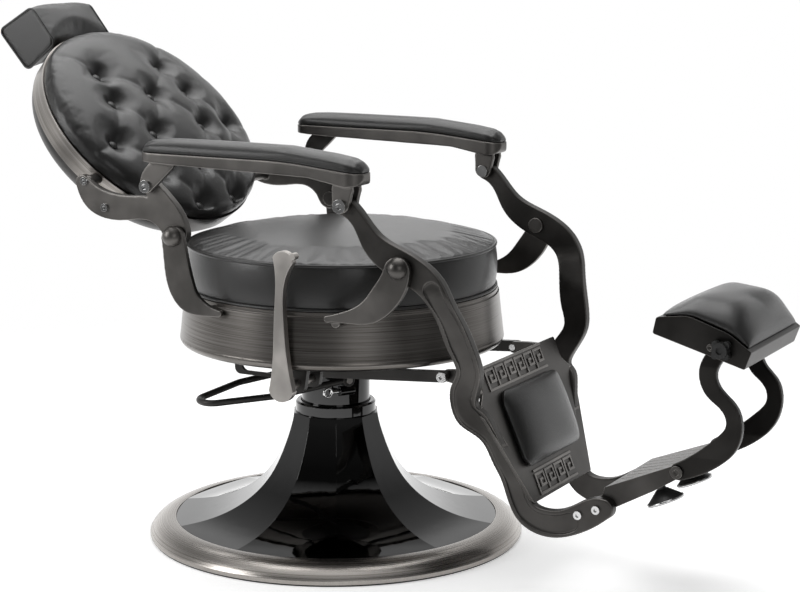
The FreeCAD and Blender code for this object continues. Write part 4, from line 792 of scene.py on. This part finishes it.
CALF_HALF, CALF_RISE, CALF_MIDDLE = (0.118, 0.070), 0.026, -0.123
CALF_BOARD = 0.003
onto_calf = CALF.inverted()


def calf_crown(vertex):
    """Round the pad's face over like a pillow, thick in its middle and low at its rim."""
    here = onto_calf @ vertex.co
    if here.z > CALF_BOARD:
        across = 1 - min(1, abs(here.x) / CALF_HALF[0]) ** 3
        along = 1 - min(1, abs(here.y - CALF_MIDDLE) / CALF_HALF[1]) ** 3
        here.z = CALF_BOARD + (CALF_RISE - CALF_BOARD) * math.sqrt(across * along)
        vertex.co = CALF @ here


calf = cushion("calf_pad", "calf_leather", 0.0042, 3.0, 0.005,
               lambda vertex: (onto_calf @ vertex.co).z < 0.005, shape=calf_crown)
padded_piece(calf, "leg_frame", "calf_pad")

FOOT_HALF = 0.127


def foot_held(vertex):
    return vertex.normal.z < -0.3 or abs(vertex.co.x) > FOOT_HALF - 0.004


foot = cushion("foot_pad", "foot_leather", 0.0045, 1.5, 0.003, foot_held, passes=22)
padded_piece(foot, "foot_rest", "foot_pad")

# %% [markdown]
# ## Studio
#
# The chair stands on a pale floor in a white room. A camera ray that meets
# nothing sees white, but the polished metal must not: it sees a room that is
# bright above and behind the chair and dark near the camera, which is what makes
# the front faces of the bell turn black. The Light Path node tells the two kinds
# of ray apart. The floor fades out around the chair, so that it has no horizon.

# %% Room
TOWARDS_BACKDROP = Vector((0.867, 0.499, 0.0))


def world_nodes(tree, kind, **sockets):
    made = tree.nodes.new("ShaderNode" + kind)
    for label, value in sockets.items():
        socket = made.inputs[label.replace("_", " ")]
        if isinstance(value, bpy.types.NodeSocket):
            tree.links.new(value, socket)
        else:
            socket.default_value = value
    return made


def make_room():
    world = bpy.data.worlds.new("studio")
    bpy.context.scene.world = world
    world.use_nodes = True
    tree = world.node_tree
    way = world_nodes(tree, "TexCoord").outputs["Generated"]
    behind = tree.nodes.new("ShaderNodeVectorMath")
    behind.operation = "DOT_PRODUCT"
    tree.links.new(way, behind.inputs[0])
    behind.inputs[1].default_value = TOWARDS_BACKDROP
    backdrop = world_nodes(tree, "MapRange", Value=behind.outputs["Value"],
                           From_Min=-0.2, From_Max=0.95, To_Min=0.15, To_Max=1.35)
    height = world_nodes(tree, "SeparateXYZ", Vector=way).outputs["Z"]
    low = world_nodes(tree, "MapRange", Value=height, From_Min=0.12, From_Max=0.55,
                      To_Min=1.0, To_Max=0.32)
    above = world_nodes(tree, "MapRange", Value=height, From_Min=0.7, From_Max=1.0,
                        To_Min=0.0, To_Max=1.1)
    total = tree.nodes.new("ShaderNodeMath")
    total.operation = "MULTIPLY_ADD"
    for number, source in enumerate((backdrop, low, above)):
        tree.links.new(source.outputs["Result"], total.inputs[number])
    room = world_nodes(tree, "Background", Strength=total.outputs[0])
    seen = world_nodes(tree, "Background", Strength=1.0)
    for light in (room, seen):
        light.inputs["Color"].default_value = (1, 1, 1, 1)
    kind = world_nodes(tree, "LightPath").outputs["Is Camera Ray"]
    both = tree.nodes.new("ShaderNodeMixShader")
    for number, source in enumerate((kind, room.outputs[0], seen.outputs[0])):
        tree.links.new(source, both.inputs[number])
    tree.links.new(both.outputs[0], tree.nodes["World Output"].inputs["Surface"])


FADE_FROM, FADE_TO = 0.9, 2.2


def floor_paint():
    """A matt white, almost even, that fades out with distance from the chair."""
    made = Finish("pale_floor", base_color=grey(0.9), roughness=0.9, specular_ior_level=0.1,
                  emission_color=grey(1.0), emission_strength=0.42)
    away = made.node("VectorMath", {"operation": "LENGTH"}, {0: made.place()}, "Value")
    spots = made.noise(made.place(), 3.0, 2)
    return made.feed(base_color=made.mix(spots, grey(0.88), grey(0.92)),
                     alpha=1 - away.ramp(FADE_FROM, FADE_TO))


make_room()
bpy.ops.object.select_all(action="DESELECT")
bpy.ops.mesh.primitive_plane_add(size=6, location=(0, 0, -0.0003))
floor = bpy.context.object
floor.name = "studio_floor"
floor.data.materials.append(floor_paint().material)

# %% [markdown]
# Three large soft boxes light the leather: one above and behind the chair, one to
# the left of the camera and a weaker one at the right. A soft box is an area lamp,
# and the larger it is, the softer the edge of its shadow.

# %% Lamps
def soft_box(name, place, aim, size, power):
    lamp = bpy.data.lights.new(name, "AREA")
    lamp.shape = "RECTANGLE"
    lamp.size, lamp.size_y = size
    lamp.energy = power
    item = bpy.data.objects.new(name, lamp)
    bpy.context.scene.collection.objects.link(item)
    item.location = place
    item.rotation_euler = (Vector(aim) - Vector(place)).to_track_quat("-Z", "Y").to_euler()
    return item


soft_box("overhead", (0.7, 0.5, 2.6), (0, 0, 0.5), (2.4, 2.4), 42)
soft_box("key", (-2.1, 1.9, 1.5), (0, 0.1, 0.6), (1.2, 1.6), 34)
soft_box("fill", (-2.4, -2.2, 1.3), (0, -0.2, 0.5), (1.2, 1.2), 9)

# %% [markdown]
# The camera stands where the photograph was taken from: low, to the sitter's
# right, and far off, so that parallel lines stay nearly parallel. Its place, turn
# and focal length were fitted to the outlines of the base, the drum and the arms.
# Standard colours keep the white ground white.

# %% Camera
LENS, SENSOR = 96.14, 36
eye = bpy.data.cameras.new("view")
eye.lens, eye.sensor_width = LENS, SENSOR
camera = bpy.data.objects.new("view", eye)
bpy.context.scene.collection.objects.link(camera)
camera.location = (-3.383, -1.947, 1.169)
camera.rotation_euler = (math.radians(79.556), 0, math.radians(-61.846))
bpy.context.scene.camera = camera
bpy.context.scene.view_settings.view_transform = "Standard"
